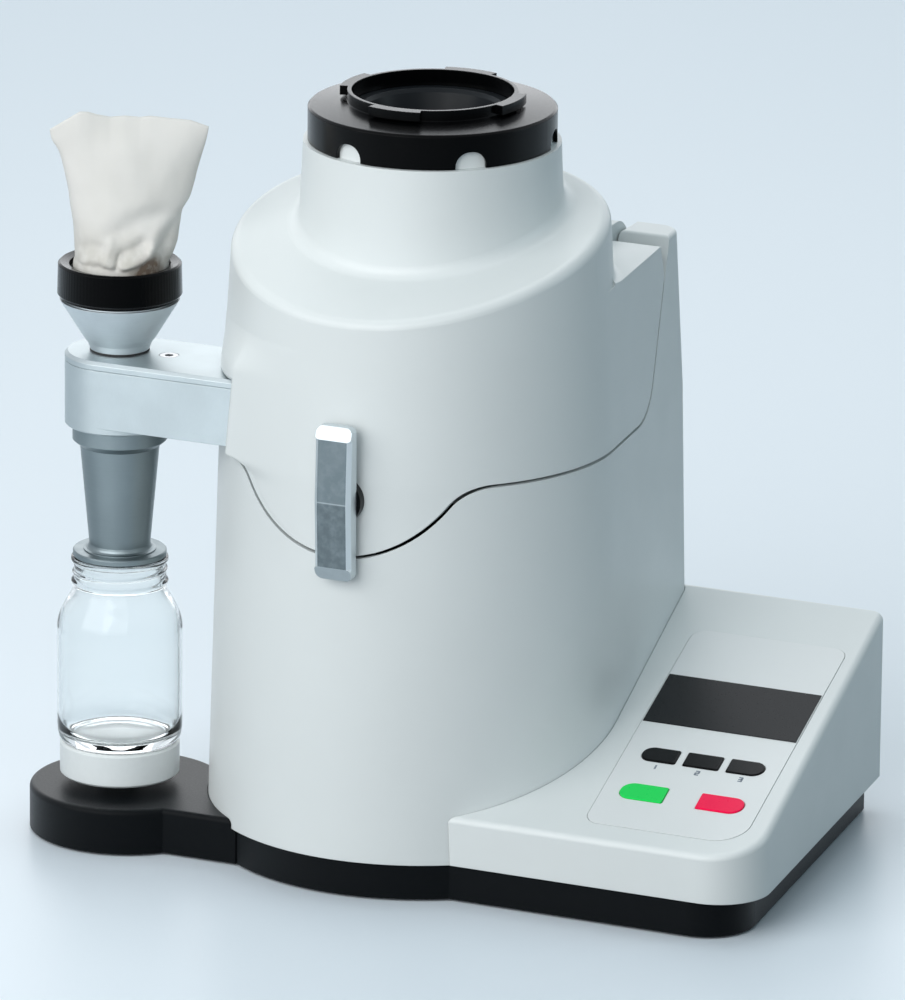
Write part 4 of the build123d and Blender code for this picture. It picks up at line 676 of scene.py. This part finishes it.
def swell_foot(share):
    """Height of the swell's lower edge, just above the joint."""
    angle = math.radians(SWELL_START + (gap_angle(SPLIT) - SWELL_START) * share)
    return joint_height(-skin(SPLIT) * math.sin(angle) - 7.5 * share ** 3) + EDGE_ROUND


def swell(columns=44, rear=40, low_rows=44, high_rows=22, round_steps=5):
    """Skin that eases the lid's face out to the cut-out's front edge, and on over the cut-out."""
    last_column, last_row = columns + rear, low_rows + high_rows
    verts, faces, grid = [], [], {}
    for column in range(last_column + 1):
        beside = column <= columns
        share = column / columns if beside else 1 + (column - columns) / rear
        for row in range(0 if beside else low_rows, last_row + 1):
            if row >= low_rows:
                height = SWELL_LIP + (SWELL_TOP - SWELL_LIP) * (row - low_rows) / high_rows
            else:
                base = swell_foot(share)
                height = base + (TOP_OF_GAP - 0.5 - base) * row / (low_rows - 1)
            grid[column, row] = len(verts)
            verts.append(tuple((TOWER + swell_spot(share, height)) * MM))
    for column in range(last_column):
        for row in range(0 if column < columns else low_rows, last_row):
            corners = [(column, row), (column, row + 1), (column + 1, row + 1), (column + 1, row)]
            faces.append(tuple(grid[key] for key in corners))

    # Rounded edge along the joint, up the cut-out's front and back over its top, and then inward
    border = [(column, 0) for column in range(columns + 1)]
    border += [(columns, row) for row in range(1, low_rows + 1)]
    border += [(column, low_rows) for column in range(columns + 1, last_column + 1)]
    rings = [[grid[key] for key in border]]
    for step in range(1, round_steps + 2):
        turn = math.radians(90 * step / round_steps)
        ring = []
        for column, row in border:
            place = Vector(verts[grid[column, row]]) / MM - TOWER
            inward = Vector((-place.x, -place.y, 0)).normalized()
            out, back = Vector(), inward * EDGE_ROUND
            if column == columns:
                out += Vector((0, GAP_FRONT + FRONT_OVERLAP - place.y, 0))
                back = Vector((2.0, 0, 0))
            if row == 0:
                out += upright(-EDGE_ROUND)
            elif row == low_rows:
                out += upright(-LIP_ROUND)
                back = inward * 2.0 if column > columns else back
            if step > round_steps:
                moved = place + out + back * (6.0 if column == columns and row else 2.0)
            else:
                moved = place + out * math.sin(turn) + back * (1 - math.cos(turn))
            ring.append(len(verts))
            verts.append(tuple((TOWER + moved) * MM))
        rings.append(ring)
    for near, far in zip(rings, rings[1:]):
        for k in range(len(near) - 1):
            faces.append((near[k], near[k + 1], far[k + 1], far[k]))
    made = piece("lid_swell", verts, faces, housing_mat, "lid")
    face_outward(made, to_left=True)


swell()

# Numbers of the speed keys, laid on the sloping panel
SLOPE = math.radians(15.36)
LEAN = math.tan(math.radians(4.6))
PANEL_X, PANEL_Y, CONSOLE_FRONT, CONSOLE_HEIGHT = 175.1, 14.0, -96.2, 49.3
PANEL = Vector((TOWER.x + PANEL_X, TOWER.y + PANEL_Y,
                CONSOLE_HEIGHT + (PANEL_Y - CONSOLE_FRONT) * math.tan(SLOPE)))
ALONG = Vector((0, math.cos(SLOPE), math.sin(SLOPE)))
OUT = Vector((0, -math.sin(SLOPE), math.cos(SLOPE)))
MARK_Y, MARK_TALL, MARK_OUT, MARK_THICK = -39.5, 3.6, 0.2, 0.05
digit_bars = {1: "bc", 2: "abged", 3: "abgcd"}


def on_panel(x, y, out):
    """Point across, up and out of the panel, whose columns lean to the left upward."""
    return (PANEL + Vector((1, 0, 0)) * (x - LEAN * y) + ALONG * y + OUT * out) * MM


def plate(name, x, y, width, tall, mat):
    """Thin rectangular plate on the panel."""
    corners = ((-1, -1), (1, -1), (1, 1), (-1, 1))
    verts = [tuple(on_panel(x + width * i / 2, y + tall * j / 2, out))
             for out in (MARK_OUT, MARK_OUT + MARK_THICK) for i, j in corners]
    faces = [(4, 5, 6, 7), (3, 2, 1, 0), (0, 1, 5, 4), (1, 2, 6, 5), (2, 3, 7, 6), (3, 0, 4, 7)]
    piece(name, verts, faces, mat, "housing_body", smooth=False)


def digit(name, value, x):
    """Plain number in straight bars, each with its middle and its size."""
    w, h, t = MARK_TALL * 0.5, MARK_TALL, MARK_TALL * 0.16
    spots = {"a": (0, h / 2, w, t), "b": (w / 2, h / 4, t, h / 2), "c": (w / 2, -h / 4, t, h / 2),
             "d": (0, -h / 2, w, t), "e": (-w / 2, -h / 4, t, h / 2), "g": (0, 0, w, t)}
    for bar in digit_bars[value]:
        bar_x, bar_y, wide, tall = spots[bar]
        plate(f"{name}_{bar}", x + bar_x, MARK_Y + bar_y, wide + t * 0.9, tall + t * 0.9, ink_mat)


for value, x in ((1, -24.9), (2, 0.8), (3, 26.5)):
    digit(f"speed_mark_{value}", value, x)

# Floor and surroundings: pale where they are seen, also in glass and metal, and dim for the light
# that they throw back
PALE = (0.80, 0.86, 0.92)
SKY = (0.58, 0.88, 1.0)
FLOOR_REACH, FLOOR_POINTS = 12.0, 25           # metres from the middle, points along a side


def seen_share(tree):
    """1 for a ray that sees, or is mirrored or refracted, and 0 for one that only gathers light."""
    path = tree.nodes.new("ShaderNodeLightPath")
    seen = path.outputs["Is Camera Ray"]
    for kind in ("Is Glossy Ray", "Is Transmission Ray"):
        add = tree.nodes.new("ShaderNodeMath")
        add.operation = "MAXIMUM"
        tree.links.new(seen, add.inputs[0])
        tree.links.new(path.outputs[kind], add.inputs[1])
        seen = add.outputs[0]
    return seen


def floor():
    """Flat floor that keeps the object's shadow."""
    p = Paint("floor_paper", (0.20, 0.23, 0.25), rough=0.35, Specular_IOR_Level=0.3)
    p.tint(seen_share(p.tree), PALE, *WHOLE)
    spots = [-FLOOR_REACH + 2 * FLOOR_REACH * k / (FLOOR_POINTS - 1) for k in range(FLOOR_POINTS)]
    verts = [(x, y, 0.0) for y in spots for x in spots]
    mesh_object("floor", verts, lattice(FLOOR_POINTS, FLOOR_POINTS, False), p.mat)


def background(tree, color, strength):
    made = tree.nodes.new("ShaderNodeBackground")
    made.inputs["Color"].default_value = (*color, 1.0)
    made.inputs["Strength"].default_value = strength
    return made.outputs[0]


def surroundings():
    """Pale where it is seen, dim for the light it throws."""
    world = bpy.data.worlds.new("studio")
    bpy.context.scene.world = world
    world.use_nodes = True
    tree = world.node_tree
    tree.nodes.remove(tree.nodes["Background"])
    either = tree.nodes.new("ShaderNodeMixShader")
    tree.links.new(seen_share(tree), either.inputs[0])
    tree.links.new(background(tree, SKY, 0.22), either.inputs[1])
    tree.links.new(background(tree, PALE, 0.9), either.inputs[2])
    tree.links.new(either.outputs[0], tree.nodes["World Output"].inputs["Surface"])


floor()


# Lights: places and sizes in metres, power in watts
def lamp(name, place, aim, size, power, color=(1, 1, 1)):
    data = bpy.data.lights.new(name, "AREA")
    data.shape = "RECTANGLE"
    data.size, data.size_y = size
    data.energy = power
    data.color = color
    made = bpy.data.objects.new(name, data)
    bpy.context.scene.collection.objects.link(made)
    made.location = place
    made.rotation_euler = (Vector(aim) - Vector(place)).to_track_quat("-Z", "Y").to_euler()


MIDDLE = (0.0, 0.0, 0.15)
COOL = (0.75, 0.92, 1.0)
lamp("key_light", (-1.1, -2.25, 1.5), MIDDLE, (2.8, 2.4), 53.0)
lamp("front_light", (0.55, -2.42, 1.4), MIDDLE, (2.4, 2.0), 24.0)
lamp("top_light", (-0.4, 0.5, 2.2), (0.0, 0.0, 0.3), (1.8, 1.8), 13.5)
lamp("back_light", (-0.9, 2.05, 0.95), (0.0, 0.0, 0.25), (2.6, 1.3), 12.0)
lamp("right_light", (2.2, 0.9, 0.9), (0.1, 0.0, 0.15), (0.8, 1.4), 6.0, COOL)
surroundings()
bpy.context.scene.view_settings.view_transform = "Standard"

# Camera at the photograph's angle
CAMERA_SWING, CAMERA_RISE, CAMERA_ROLL = (math.radians(a) for a in (23.96, 16.72, 0.56))
CAMERA_AIM, CAMERA_AWAY = TOWER + Vector((13.44, 13.0, 195.45)), 5651.53
SENSOR, FOCAL_PIXELS, FRAME_PIXELS = 36.0, 10187.96, 1000


def photograph_camera():
    """Camera in the photograph's place, aimed past the tower."""
    swing, rise, roll = CAMERA_SWING, CAMERA_RISE, CAMERA_ROLL
    back = Vector((math.sin(swing) * math.cos(rise), -math.cos(swing) * math.cos(rise),
                   math.sin(rise)))
    side = Vector((math.cos(swing), math.sin(swing), 0))
    up = back.cross(side)
    right_axis = side * math.cos(roll) + up * math.sin(roll)
    up_axis = up * math.cos(roll) - side * math.sin(roll)
    turn = Matrix((right_axis, up_axis, back)).transposed().to_4x4()
    view = bpy.data.cameras.new("camera")
    view.sensor_width = SENSOR
    view.lens = SENSOR * FOCAL_PIXELS / FRAME_PIXELS
    view.shift_x, view.shift_y = 0.00112, -0.0024
    view.clip_end = 50.0
    camera = bpy.data.objects.new("camera", view)
    bpy.context.scene.collection.objects.link(camera)
    camera.matrix_world = Matrix.Translation((CAMERA_AIM + back * CAMERA_AWAY) * MM) @ turn
    bpy.context.scene.camera = camera


photograph_camera()
